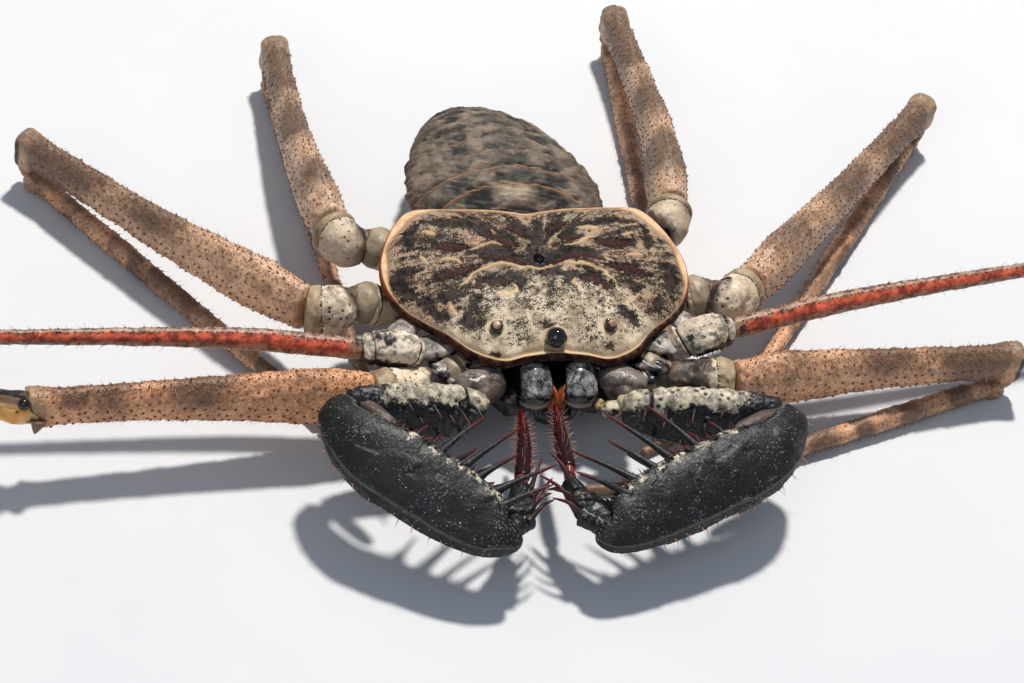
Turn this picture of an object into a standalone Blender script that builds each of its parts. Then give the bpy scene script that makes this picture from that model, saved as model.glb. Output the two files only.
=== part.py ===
# Whip spider, Phrynus pulchripes, a still life-size model standing on the floor at z = 0.
# The animal faces -Y and its right side is -X. Lengths are in millimetres until they meet MM.
import bmesh
import bpy
import numpy as np
from mathutils import Matrix

MM = 0.001                      # one millimetre in metres
GAP = 0.3                       # space left between two neighbouring pieces
UP = np.array([0.0, 0.0, 1.0])

# Carapace: half of its outline from the front notch to the rear notch, seen from above
CARAPACE_HALF = [(0.0, -4.72), (1.4, -4.83), (2.5, -5.08), (3.3, -4.88), (4.15, -4.32), (4.9, -3.4),
                 (5.3, -2.98), (6.1, -2.3), (6.95, -1.3), (7.42, 0.0), (7.5, 1.25), (7.2, 2.4), (6.7, 3.45),
                 (6.12, 4.22), (5.5, 4.57), (4.4, 4.55), (3.2, 4.45), (1.8, 4.33), (0.7, 4.15), (0.0, 4.02)]
CARAPACE_MIDDLE = (0.0, 0.4)
RIM_HEIGHT = 5.45               # height of the rim's plane at the middle of the body
RIM_SLOPE = 0.1                 # the rim rises towards the rear
RIM_DROOP = 0.0095              # and droops towards the sides
DOME_HEIGHT = 0.85
RIM_THICKNESS = 0.55
RIM_EDGE = 0.22                 # the rim thins to this at its very edge

# Eyes: centre and radius of the middle pair's mound and of the side eyes
MIDDLE_EYE = (0.0, -4.15, 5.55)
MIDDLE_EYE_RADIUS = 0.45
SIDE_EYE = (2.76, -3.45, 5.72)
SIDE_EYE_RADIUS = 0.31
EYE_CLEARANCE = 0.13

# Abdomen: share of its length, half width, and the heights of its back and belly there
ABDOMEN_FRONT = 4.8
ABDOMEN_LENGTH = 10.1
ABDOMEN_LEAN = -0.075           # the abdomen points a little to the right of the body's line
ABDOMEN_PROFILE = [(0.0, 3.6, 5.1, 2.9), (0.1, 4.4, 5.5, 2.5), (0.25, 4.75, 5.8, 2.3),
                   (0.42, 4.4, 5.8, 2.2), (0.57, 3.8, 5.5, 2.2), (0.72, 3.15, 4.95, 2.2),
                   (0.86, 2.3, 4.1, 2.2), (0.95, 1.5, 3.4, 2.2), (1.0, 0.6, 2.95, 2.35)]
TERGITES = 9
TERGITE_STEP = 0.22             # how far a plate's rear margin stands proud of the next plate
PEDICEL_FRONT = 3.5             # the stalk that joins the abdomen to the body starts here
PEDICEL_RADIUS = 1.2

# Walking legs: coxa tip, trochanter, femur base, femur middle, knee, ankle and claw
LEGS = {
    "leg2_right": [(-5.3, -4.4, 3.1), (-7.0, -4.85, 3.05), (-8.9, -5.3, 3.2), (-16.9, -5.85, 3.75),
                   (-25.0, -6.5, 4.1), (-42.5, 1.5, 1.55), (-51.0, 5.5, 0.25)],
    "leg3_right": [(-8.9, 0.4, 3.85), (-10.1, -0.25, 3.8), (-11.2, 0.0, 3.75), (-16.35, 5.35, 3.1),
                   (-22.6, 12.8, 2.3), (-10.5, -4.3, 0.62), (-7.4, -8.9, 0.25)],
    "leg4_right": [(-7.6, 4.5, 3.75), (-8.65, 4.4, 3.8), (-9.1, 5.5, 3.8), (-9.65, 11.8, 3.1),
                   (-9.6, 19.6, 2.3), (-8.5, 2.6, 0.62), (-7.9, -2.6, 0.25)],
    "leg2_left": [(5.5, -4.3, 3.05), (7.15, -4.6, 3.0), (9.0, -4.85, 3.05), (16.05, -3.95, 2.8),
                  (23.4, -3.05, 2.3), (7.3, -8.7, 0.62), (1.3, -9.0, 0.25)],
    "leg3_left": [(8.8, 0.5, 3.85), (9.65, -0.05, 3.8), (10.9, 0.95, 3.7), (16.25, 6.85, 3.1),
                  (23.3, 14.9, 2.3), (10.2, -3.5, 0.62), (4.6, -6.7, 0.25)],
    "leg4_left": [(6.8, 4.6, 3.75), (7.6, 5.3, 3.8), (8.05, 6.5, 3.8), (8.8, 13.0, 3.1),
                  (8.6, 21.9, 2.3), (7.5, 2.8, 0.62), (7.1, -2.6, 0.25)],
}
COXA_ROOT = 0.35                # how far out from the middle line a leg's coxa starts inside the body
STRETCHED_LEG = "leg2_right"     # the one leg that isn't folded under its femur
FEMUR_HALF_DEPTHS = [1.2, 1.5, 1.4, 1.22, 1.1, 1.0, 0.86]       # from the body to the knee
FEMUR_HALF_WIDTHS = [0.85, 1.0, 0.86, 0.78, 0.72, 0.68, 0.6]
KNEE_INSET = 0.6                # from the knee's middle back to the femur's end face
SHIN_INSET = 0.45               # the lower half of a folded elbow lies this much further in
TIBIA_HEIGHT = 0.64             # middle of a folded tibia above the floor

# Whips, the first pair of legs: coxa tip, femur base and middle, knee, ankle, middle and tip of the lash
WHIPS = {
    "whip_right": [(-6.1, -3.45, 4.05), (-9.25, -3.65, 4.6), (-16.7, -3.1, 5.0), (-34.0, -3.0, 5.35),
                   (-44.0, 23.0, 8.2), (-36.0, 45.0, 6.2), (-19.0, 56.0, 3.0)],
    "whip_left": [(6.1, -3.3, 4.05), (9.2, -2.75, 4.6), (16.6, -1.25, 5.2), (33.5, 1.9, 5.35),
                  (45.0, 26.0, 8.2), (38.0, 47.0, 6.2), (21.0, 58.0, 3.0)],
}

WHIP_SPLIT = 40                 # of the 90 points along shin and lash, the one where the lash starts
LASH_RADII = (0.3, 0.28, 0.25)  # at the knee, at the start of the lash and at its tip

# Arms (pedipalps): the joints from the trochanter to the claw, and the blade's own line
ARMS = {
    "arm_right": {
        "trochanter": [(-3.3, -4.6, 3.3), (-3.2, -5.2, 3.55), (-3.1, -5.85, 3.65)],
        "femur": [(-3.7, -6.9, 3.85), (-6.6, -7.1, 4.3), (-9.6, -7.4, 4.8)],
        "patella": [(-10.25, -7.5, 4.95), (-11.05, -8.45, 5.1), (-10.0, -10.6, 5.0),
                    (-7.8, -12.35, 4.5), (-5.6, -13.9, 3.9), (-4.2, -14.75, 3.6), (-3.45, -14.5, 3.65)],
        "tibia": [(-2.95, -14.25, 3.6), (-2.75, -13.5, 3.5), (-2.65, -12.6, 3.45), (-2.7, -11.7, 3.45)],
        "tarsus": [(-2.65, -11.3, 3.5), (-2.1, -8.9, 3.35), (-1.75, -6.4, 3.1)],
    },
    "arm_left": {
        "trochanter": [(3.35, -4.6, 3.3), (3.25, -5.25, 3.5), (3.1, -5.9, 3.6)],
        "femur": [(2.95, -7.0, 3.75), (6.05, -7.4, 3.95), (9.4, -7.95, 4.2)],
        "patella": [(10.05, -8.1, 4.35), (10.55, -9.1, 4.55), (9.0, -11.0, 4.5),
                    (5.75, -12.45, 4.1), (2.7, -13.8, 3.65), (1.1, -14.6, 3.45), (0.35, -14.3, 3.5)],
        "tibia": [(-0.2, -14.0, 3.45), (-0.3, -13.2, 3.4), (-0.35, -12.2, 3.4), (-0.35, -11.2, 3.45)],
        "tarsus": [(-0.35, -10.8, 3.55), (-0.25, -8.4, 3.35), (0.0, -6.1, 3.1)],
    },
}
ARM_COXA_LENGTH = 2.2
BLADE_TILT = 35.0               # the blade's inner edge is raised by this angle
BLADE_HALF_WIDTHS = [0.55, 0.85, 1.2, 1.6, 1.85, 1.85, 1.8, 1.75, 1.55, 0.95, 0.5]
BLADE_HALF_DEPTHS = [0.5, 0.65, 0.8, 0.85, 0.85, 0.85, 0.85, 0.8, 0.75, 0.65, 0.5]

# Spines of the blade: share of the way along it, length, lean towards its tip in degrees, and rise
UPPER_SPINES = [(0.4, 1.1, 8, 0), (0.51, 3.4, 12, 0), (0.61, 4.1, 17, 0), (0.68, 2.7, 22, 0),
                (0.76, 3.5, 31, 0.1), (0.83, 2.2, 42, 0.7)]
LOWER_SPINES = [(0.45, 1.5, 5, -0.6), (0.56, 2.2, 12, -0.6), (0.645, 1.8, 18, -0.6), (0.72, 1.7, 26, -0.6)]
SPINE_SHIFT = {"arm_right": 0.04, "arm_left": 0.0}      # the right arm's rows sit nearer the blade's tip
# Spines of the hand: point of the tibia's line, height of the root, and reach inwards, back and up
HAND_SPINES = [(1, 0.3, (1.15, 0.8, 0.55)), (2, 0.3, (0.95, 1.9, 0.9)), (2, -0.2, (1.0, 1.0, -0.7))]
SPINE_RADIUS = 0.24
SPINE_SIDES = 5
SPINE_SINK = 0.5                # this much of a blade's spine is inside the blade

COLOURS = {
    "carapace": ((0.30, 0.23, 0.15), 0.5),
    "abdomen": ((0.23, 0.19, 0.13), 0.6),
    "eye": ((0.008, 0.008, 0.01), 0.1),
    "underside": ((0.36, 0.31, 0.22), 0.5),
    "leg": ((0.34, 0.23, 0.16), 0.55),
    "tarsus": ((0.2, 0.13, 0.08), 0.55),
    "whip": ((0.34, 0.1, 0.05), 0.4),
    "arm": ((0.02, 0.021, 0.022), 0.4),
    "claw": ((0.13, 0.015, 0.015), 0.25),
    "chelicera": ((0.05, 0.05, 0.05), 0.3),
}


def unit(vector):
    """The vector at length one"""
    vector = np.asarray(vector, float)
    return vector / np.linalg.norm(vector)


def smooth_line(points, count, closed=False):
    """Evenly spaced points on a Catmull-Rom curve through the given points"""
    points = np.asarray(points, float)
    if closed:
        padded = np.vstack([points[-1], points, points[:2]])
    else:
        padded = np.vstack([2 * points[0] - points[1], points, 2 * points[-1] - points[-2]])
    fine = []
    for a, b, c, d in zip(padded, padded[1:], padded[2:], padded[3:]):
        t = np.linspace(0, 1, 24, endpoint=False)[:, None]
        fine.append(0.5 * (2 * b + (c - a) * t + (2 * a - 5 * b + 4 * c - d) * t ** 2
                           + (3 * b - a - 3 * c + d) * t ** 3))
    fine = np.vstack(fine + [padded[-2][None]])
    run = np.append(0, np.cumsum(np.linalg.norm(np.diff(fine, axis=0), axis=1)))
    at = np.linspace(0, run[-1], count, endpoint=not closed)
    return np.stack([np.interp(at, run, fine[:, axis]) for axis in range(points.shape[1])], 1)


def make_material(name):
    """A plain Principled material of the part's colour and roughness"""
    colour, roughness = COLOURS[name]
    material = bpy.data.materials.new(name)
    material.use_nodes = True
    shader = material.node_tree.nodes["Principled BSDF"]
    shader.inputs["Base Color"].default_value = (*colour, 1)
    shader.inputs["Roughness"].default_value = roughness
    shader.inputs["Metallic"].default_value = 0.0
    return material


def make_body(name, rings, material):
    """A closed body lofted through rings of points, where a ring of one point is a pole"""
    edit = bmesh.new()
    rows = [[edit.verts.new(np.asarray(point, float) * MM) for point in ring] for ring in rings]
    for lower, upper in zip(rows, rows[1:]):
        count = max(len(lower), len(upper))
        for i in range(count):
            j = (i + 1) % count
            if len(lower) == 1:
                edit.faces.new((lower[0], upper[j], upper[i]))
            elif len(upper) == 1:
                edit.faces.new((lower[i], lower[j], upper[0]))
            else:
                edit.faces.new((lower[i], lower[j], upper[j], upper[i]))
    for row, turn in ((rows[0], -1), (rows[-1], 1)):
        if len(row) > 1:
            edit.faces.new(row[::turn])
    bmesh.ops.triangulate(edit, faces=edit.faces)
    bmesh.ops.recalc_face_normals(edit, faces=edit.faces)
    mesh = bpy.data.meshes.new(name)
    edit.to_mesh(mesh)
    edit.free()
    mesh.materials.append(material)
    mesh.polygons.foreach_set("use_smooth", [True] * len(mesh.polygons))
    mesh.set_sharp_from_angle(angle=0.7)
    body = bpy.data.objects.new(name, mesh)
    parts.objects.link(body)
    return body


def keep_largest(mesh):
    """Delete all but the largest closed surface of a mesh"""
    edit = bmesh.new()
    edit.from_mesh(mesh)
    bmesh.ops.remove_doubles(edit, verts=edit.verts, dist=0.002 * MM)
    left = set(edit.verts)
    shells = []
    while left:
        queue = [left.pop()]
        shell = set(queue)
        while queue:
            for edge in queue.pop().link_edges:
                for vertex in edge.verts:
                    if vertex in left:
                        left.discard(vertex)
                        shell.add(vertex)
                        queue.append(vertex)
        shells.append(shell)
    largest = max(shells, key=len)
    scraps = [vertex for vertex in edit.verts if vertex not in largest]
    bmesh.ops.delete(edit, geom=scraps, context="VERTS")
    bmesh.ops.triangulate(edit, faces=edit.faces)
    edit.to_mesh(mesh)
    edit.free()


def combine(body, pieces, operation="UNION", solver="EXACT"):
    """Join the pieces to the body, or cut them out of it, in one Boolean"""
    group = bpy.data.collections.new("pieces")
    scene.collection.children.link(group)
    for piece in pieces:
        group.objects.link(piece)
        parts.objects.unlink(piece)
    change = body.modifiers.new("change", "BOOLEAN")
    change.operation = operation
    change.operand_type = "COLLECTION"
    change.collection = group
    change.solver = solver
    material = body.data.materials[0]
    mesh = bpy.data.meshes.new_from_object(body.evaluated_get(bpy.context.evaluated_depsgraph_get()))
    body.modifiers.clear()
    body.data = mesh
    mesh.name = body.name
    mesh.materials.clear()
    mesh.materials.append(material)
    mesh.polygons.foreach_set("material_index", [0] * len(mesh.polygons))
    for piece in pieces:
        bpy.data.objects.remove(piece)
    bpy.data.collections.remove(group)
    keep_largest(mesh)
    return body


def mitre(ring, place, tangent, normal):
    """The ring slid along the tangent on to the plane through place that faces along normal"""
    normal = unit(normal)
    return ring + np.outer((place - ring) @ normal / (tangent @ normal), tangent)


def limb_rings(line, half_widths, half_depths, sides, start=None, end=None, up=UP, power=1.0):
    """Elliptical rings along a line; start and end are the normals of its two end faces"""
    line = np.asarray(line, float)
    share = np.linspace(0, 1, len(line))
    widths = np.interp(share, np.linspace(0, 1, len(half_widths)), half_widths)
    depths = np.interp(share, np.linspace(0, 1, len(half_depths)), half_depths)
    tangents = np.gradient(line, axis=0)
    turn = np.linspace(0, 2 * np.pi, sides, endpoint=False) + np.pi / sides
    across = np.sign(np.cos(turn)) * np.abs(np.cos(turn)) ** power
    along = np.sign(np.sin(turn)) * np.abs(np.sin(turn)) ** power
    rings = []
    for i, (place, tangent, width, depth) in enumerate(zip(line, tangents, widths, depths)):
        tangent = unit(tangent)
        side = unit(np.cross(tangent, up))
        rise = np.cross(side, tangent)
        ring = place + np.outer(across * width, side) + np.outer(along * depth, rise)
        normal = {0: start, len(line) - 1: end}.get(i)
        if normal is not None:
            ring = mitre(ring, place, tangent, normal)
        rings.append(ring)
    return rings


def make_limb(name, points, half_widths, half_depths, material, sides=10, count=7, **faces):
    """A limb segment along a smooth line through its points"""
    line = smooth_line(points, count)
    return make_body(name, limb_rings(line, half_widths, half_depths, sides, **faces), material)


def make_spine(root, tip, lift, material, radius=SPINE_RADIUS):
    """A tapered spine that bows by lift, with its point at tip"""
    root, tip = np.asarray(root, float), np.asarray(tip, float)
    middle = (root + tip) / 2 + UP * lift
    rings = limb_rings([root, middle, tip], [radius, 0.7 * radius, 0.1], [radius, 0.7 * radius, 0.1],
                       SPINE_SIDES)
    return make_body("spine", rings[:2] + [[tip]], material)


def shift(point, other, distance):
    """The point moved towards the other one by a distance"""
    point, other = np.asarray(point, float), np.asarray(other, float)
    return point + unit(other - point) * distance


def rim_plane(x, y):
    """Height of the carapace's rim"""
    return RIM_HEIGHT + RIM_SLOPE * y - RIM_DROOP * x ** 2


def carapace_outline(count):
    """The whole outline seen from above, as x and y"""
    half = np.array(CARAPACE_HALF)
    mirrored = half[-2:0:-1] * (-1, 1)
    return smooth_line(np.vstack([half, mirrored]), count, closed=True)


def make_carapace():
    """A shield: a low dome over the rim's plane, with the sockets of the eyes"""
    outline = carapace_outline(44)
    middle = np.array(CARAPACE_MIDDLE)
    rings = [[(*middle, rim_plane(*middle) + DOME_HEIGHT)]]
    for share in (0.3, 0.55, 0.75, 0.9, 1.0):
        flat = middle + (outline - middle) * share
        rise = DOME_HEIGHT * (1 - share ** 3)
        rings.append(np.column_stack([flat, rim_plane(*flat.T) + rise]))
    for share, depth in ((1.0, RIM_EDGE), (0.93, RIM_THICKNESS), (0.5, RIM_THICKNESS)):
        flat = middle + (outline - middle) * share
        rings.append(np.column_stack([flat, rim_plane(*flat.T) - depth]))
    rings.append([(*middle, rim_plane(*middle) - RIM_THICKNESS)])
    shield = make_body("carapace", rings, materials["carapace"])
    sockets = [make_ball("socket", place, radius + EYE_CLEARANCE) for place, radius in eye_places()]
    return combine(shield, sockets, "DIFFERENCE")


def eye_places():
    """Centre and radius of the middle mound and of the two side eyes"""
    x, y, z = SIDE_EYE
    return [(MIDDLE_EYE, MIDDLE_EYE_RADIUS), ((-x, y, z), SIDE_EYE_RADIUS), ((x, y, z), SIDE_EYE_RADIUS)]


def make_ball(name, place, radius, material="eye"):
    """A ball with poles up and down"""
    edit = bmesh.new()
    bmesh.ops.create_uvsphere(edit, u_segments=12, v_segments=7, radius=radius * MM)
    bmesh.ops.translate(edit, verts=edit.verts, vec=np.array(place) * MM)
    bmesh.ops.triangulate(edit, faces=edit.faces)
    mesh = bpy.data.meshes.new(name)
    edit.to_mesh(mesh)
    edit.free()
    mesh.materials.append(materials[material])
    mesh.polygons.foreach_set("use_smooth", [True] * len(mesh.polygons))
    ball = bpy.data.objects.new(name, mesh)
    parts.objects.link(ball)
    return ball


def make_eyes():
    """The mound of the middle eyes and the two groups of side eyes"""
    for name, (place, radius) in zip(("eyes_middle", "eyes_right", "eyes_left"), eye_places()):
        make_ball(name, place, radius)


def make_underside():
    """The sternum block under the carapace, with the coxae running out to the legs"""
    outline = carapace_outline(28)
    middle = np.array(CARAPACE_MIDDLE)
    rings = []
    for share, height in ((0.45, 2.2), (0.62, 2.5), (0.7, 3.2), (0.7, None)):
        flat = middle + (outline - middle) * share
        top = rim_plane(*flat.T) - RIM_THICKNESS - GAP
        rings.append(np.column_stack([flat, top if height is None else np.full(len(flat), height)]))
    body = make_body("underside", rings, materials["underside"])
    coxae = []
    for points in LEGS.values():
        tip = np.array(points[0])
        root = middle_point(tip, COXA_ROOT)
        face = hip_face(points)
        neck = root + (tip - root) * (0.68, 0.68, 0.3)
        coxae.append(make_limb("coxa", [root, neck, tip - face * GAP / 2],
                               [0.8, 0.8, 0.72, 0.62, 0.75, 0.95, 0.72],
                               [0.8, 0.8, 0.72, 0.62, 0.75, 0.92, 0.75], materials["underside"], end=face))
    for points in WHIPS.values():
        tip = np.array(points[0])
        root = middle_point(tip, COXA_ROOT)
        face = hip_face(points)
        coxae.append(make_limb("coxa", [root, tip - face * GAP / 2], [0.45, 0.45], [0.36, 0.36],
                               materials["underside"], count=5, end=face))
    for joints in ARMS.values():
        tip = np.array(joints["trochanter"][0])
        root = tip + (0, ARM_COXA_LENGTH, -0.15)
        face = unit(np.array(joints["trochanter"][1]) - tip)
        coxae.append(make_limb("coxa", [root, tip - face * GAP / 2], [0.7, 0.75, 0.7], [0.5, 0.55, 0.55],
                               materials["underside"], count=5, end=face))
    return combine(body, coxae, solver="MANIFOLD")


def hip_face(points):
    """Normal of the face between a coxa and its trochanter"""
    tip = np.array(points[0])
    return unit(unit(tip - middle_point(tip, COXA_ROOT)) + unit(np.array(points[1]) - tip))


def middle_point(tip, share):
    """The point inside the body where a coxa starts: nearer the middle and a little lower"""
    return np.array([tip[0] * share, CARAPACE_MIDDLE[1] + (tip[1] - CARAPACE_MIDDLE[1]) * (share + 0.2),
                     3.15])


def make_abdomen():
    """An egg-shaped abdomen on a stalk, whose back is raised in overlapping plates"""
    profile = smooth_line(ABDOMEN_PROFILE, 60)
    stations = [(0.0, 0.0)]
    for plate in range(TERGITES):
        start = 0.96 * (plate / TERGITES) ** 0.93
        stop = 0.96 * ((plate + 1) / TERGITES) ** 0.93
        stations += [(start + 0.2 * (stop - start), 0.35), (stop - 0.012, 1.0), (stop, 0.0)]
    stations.append((1.0, 0.0))
    turn = np.linspace(0, 2 * np.pi, 26, endpoint=False)
    stalk_middle = 3.75
    stalk = np.column_stack([PEDICEL_RADIUS * np.cos(turn), np.full(26, PEDICEL_FRONT),
                             stalk_middle + 0.6 * PEDICEL_RADIUS * np.sin(turn)])
    rings = [stalk, stalk + (0, ABDOMEN_FRONT - PEDICEL_FRONT - 0.2, 0)]
    for share, step in stations:
        half_width, back, belly = [np.interp(share, profile[:, 0], profile[:, k]) for k in (1, 2, 3)]
        middle = belly + 0.42 * (back - belly)
        proud = np.where(np.sin(turn) > -0.1, TERGITE_STEP * step, 0)
        rise = np.where(np.sin(turn) > 0, back - middle, middle - belly) + proud
        y = ABDOMEN_FRONT + ABDOMEN_LENGTH * share
        x = (half_width + 0.6 * proud) * np.cos(turn) + ABDOMEN_LEAN * (y - ABDOMEN_FRONT)
        rings.append(np.column_stack([x, np.full(26, y), middle + rise * np.sin(turn)]))
    return make_body("abdomen", rings, materials["abdomen"])


def make_chelicera(name, middle, inward):
    """One jaw, with its fang pointing down and inwards"""
    basal = make_limb(name, [(middle, -3.95, 3.55), (middle, -4.75, 3.62), (middle, -5.45, 3.1),
                             (middle, -5.55, 2.45)],
                      [0.5, 0.6, 0.62, 0.55], [0.45, 0.55, 0.6, 0.45], materials["chelicera"], sides=10)
    fang = make_spine((middle, -5.5, 2.7), (middle + inward * 0.45, -5.65, 1.4), 0.0,
                      materials["chelicera"], 0.34)
    return combine(basal, [fang])


def make_leg(name, points):
    """A walking leg from its trochanter to its claw"""
    coxa_tip, trochanter, femur_base, femur_middle, knee, ankle, claw = [np.array(p) for p in points]
    leg = materials["leg"]
    hip = hip_face(points)
    thigh = unit(knee - femur_middle)
    thigh_face = unit(unit(femur_base - trochanter) + unit(femur_middle - femur_base))
    size = 0.82 if name.startswith("leg2") else 1.0
    hip_line = [coxa_tip + hip * GAP / 2, trochanter, femur_base - thigh_face * GAP / 2]
    make_limb(name + "_trochanter", hip_line,
              [0.75 * size, 1.02 * size, 1.1 * size, 0.9], [0.8 * size, 1.1 * size, 1.2 * size, 1.15], leg,
              count=5, start=hip, end=thigh_face)
    knee_end = knee - thigh * KNEE_INSET
    make_limb(name + "_femur", [femur_base + thigh_face * GAP / 2, femur_middle, knee_end],
              FEMUR_HALF_WIDTHS, FEMUR_HALF_DEPTHS, leg, count=9, start=thigh_face, end=thigh)
    if name == STRETCHED_LEG:
        shin = unit(ankle - knee)
        make_limb(name + "_patella", [knee_end + thigh * GAP, knee + thigh * 0.5, knee + shin * 1.7],
                  [0.6, 0.65, 0.5], [0.9, 0.85, 0.6], leg, count=5, start=thigh, end=shin)
        shin_start = knee + shin * (1.7 + GAP)
        face = shin
    else:
        flat = unit(thigh * (1, 1, 0))
        face = -flat
        face_point = knee - flat * (KNEE_INSET - GAP)
        make_patella(name + "_patella", face_point, flat, knee[2] + 0.86)
        shin_start = np.array([*(face_point - flat * (SHIN_INSET + GAP))[:2], TIBIA_HEIGHT])
    foot_face = unit(unit(ankle - shin_start) + unit(claw - ankle))
    make_limb(name + "_tibia", [shin_start, (shin_start + ankle) / 2, ankle - foot_face * GAP / 2],
              [0.46, 0.5, 0.42, 0.34], [0.5, 0.52, 0.44, 0.34], leg, sides=8, count=6,
              start=face, end=foot_face)
    sole = (ankle + claw) / 2 * (1, 1, 0) + UP * (0.15 + 0.25 * ankle[2])
    rings = limb_rings(smooth_line([ankle + foot_face * GAP / 2, sole, claw], 7),
                       [0.31, 0.3, 0.28, 0.26], [0.33, 0.3, 0.3, 0.28], 8, start=foot_face)
    rings = [np.column_stack([ring[:, :2], np.maximum(ring[:, 2], 0)]) for ring in rings]
    make_body(name + "_tarsus", rings, materials["tarsus"])


def make_patella(name, face_point, outward, top):
    """The elbow of a folded leg: a rounded block on the floor, stepped in where the tibia starts"""
    across = np.cross(UP, outward)
    turn = np.linspace(0, 2 * np.pi, 10, endpoint=False) + np.pi / 10
    rings = []
    for height, size, inset in ((0.0, 0.6, 1.0), (0.25, 0.82, 1.0), (0.34 * top, 0.95, 1.0),
                                (0.46 * top, 1.0, 0.0), (0.75 * top, 1.0, 0.0), (0.93 * top, 0.8, 0.0),
                                (top, 0.4, 0.0)):
        middle = (face_point + outward * (0.35 - SHIN_INSET * inset)) * (1, 1, 0) + UP * height
        reach = np.maximum(np.cos(turn) * 0.72 * size, -0.35)
        rings.append(middle + np.outer(reach, outward) + np.outer(np.sin(turn) * 0.62 * size, across))
    return make_body(name, rings, materials["leg"])


def make_whip(name, points):
    """One whip: a jointed thigh, then a long shin and lash swept back in an arc"""
    coxa_tip, femur_base, femur_middle, knee, ankle, lash, tip = [np.array(point) for point in points]
    whip = materials["whip"]
    start = hip_face(points)
    face = unit(start + unit(femur_middle - femur_base))
    hip_line = [coxa_tip + start * GAP / 2, (coxa_tip + femur_base) / 2 + UP * 0.35,
                femur_base - face * GAP / 2]
    make_limb(name + "_trochanter", hip_line, [0.42, 0.68, 0.72, 0.55], [0.42, 0.6, 0.66, 0.55],
              materials["underside"], count=6, start=start, end=face)
    shin = unit(ankle - knee + np.array([np.sign(knee[0]) * 14, 0, 3]))
    knee_face = unit(unit(knee - femur_middle) + shin)
    make_limb(name + "_femur", [femur_base + face * GAP / 2, femur_middle, knee - knee_face * GAP / 2],
              [0.5, 0.52, 0.43, 0.36, 0.32, 0.3], [0.5, 0.54, 0.45, 0.37, 0.33, 0.3], whip, sides=8,
              count=8, start=face, end=knee_face)
    sweep = smooth_line([knee, knee + shin * 7, ankle, lash, tip], 90)
    joint = unit(sweep[WHIP_SPLIT] - sweep[WHIP_SPLIT - 1])
    shin_start = knee + knee_face * GAP / 2
    make_tube(name + "_tibia", [shin_start, shin_start + knee_face * 0.4, *sweep[3:WHIP_SPLIT:3],
                                sweep[WHIP_SPLIT] - joint * GAP], LASH_RADII[:2], whip)
    make_tube(name + "_tarsus", sweep[WHIP_SPLIT:90:3], LASH_RADII[1:], whip)


def make_tube(name, points, radii, material):
    """A thin tapering tube along a line: a curve with a round bevel and closed ends"""
    curve = bpy.data.curves.new(name, "CURVE")
    curve.dimensions = "3D"
    curve.bevel_depth = MM
    curve.bevel_resolution = 2
    curve.use_fill_caps = True
    spline = curve.splines.new("POLY")
    spline.points.add(len(points) - 1)
    for i, (point, place) in enumerate(zip(spline.points, points)):
        point.co = (*(np.array(place) * MM), 1)
        point.radius = np.interp(i, (0, len(points) - 1), radii)
    curve.materials.append(material)
    parts.objects.link(bpy.data.objects.new(name, curve))


def make_arm(name, joints):
    """One spiny arm, from its trochanter to its claw"""
    inward = np.array([1.0 if name.endswith("right") else -1.0, 0, 0])
    arm, claw = materials["arm"], materials["claw"]
    hip = np.array(joints["trochanter"])
    hip_line = [shift(hip[0], hip[1], GAP / 2), hip[1], shift(hip[2], hip[1], GAP / 2)]
    make_limb(name + "_trochanter", hip_line, [0.7, 0.85, 0.7], [0.55, 0.75, 0.7], arm, count=5,
              start=hip[1] - hip[0], end=hip[2] - hip[1])
    make_femur(name, np.array(joints["femur"]), inward, arm)
    patella, tibia = np.array(joints["patella"]), np.array(joints["tibia"])
    wrist = unit(patella[-1] - patella[-2]) + unit(tibia[1] - tibia[0])
    make_blade(name, patella, inward, arm, wrist)
    body = make_limb(name + "_tibia", tibia, [0.5, 0.75, 0.7, 0.45], [0.6, 0.7, 0.65, 0.5], arm, count=6,
                     start=wrist)
    spines = []
    for place, height, reach in HAND_SPINES:
        root = tibia[place] + UP * height
        spines.append(make_spine(root, tibia[place] + inward * reach[0] + (0, *reach[1:]), 0.05, claw))
    combine(body, spines)
    make_limb(name + "_tarsus", joints["tarsus"], [0.4, 0.38, 0.28, 0.12], [0.42, 0.4, 0.3, 0.14], claw,
              sides=8, count=7)


def make_femur(name, points, inward, material):
    """The arm's thigh with a row of curved spines above and shorter ones below"""
    body = make_limb(name + "_femur", points, [0.6, 0.75, 0.8, 0.7], [0.75, 1.05, 1.1, 0.95], material,
                     count=8)
    line = smooth_line(points, 21)
    spines = []
    for place, reach, height in ((3, 1.3, 0.45), (6, 1.7, 0.45), (10, 1.3, 0.45), (14, 0.9, 0.45),
                                 (5, 1.2, -0.45), (9, 1.5, -0.45), (13, 1.1, -0.45)):
        root = line[place] + (0, -0.2, height)
        tip = root + inward * 0.35 * reach + (0, -reach, 0.6 * height)
        spines.append(make_spine(root, tip, 0.5 * height, material))
    return combine(body, spines)


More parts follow.
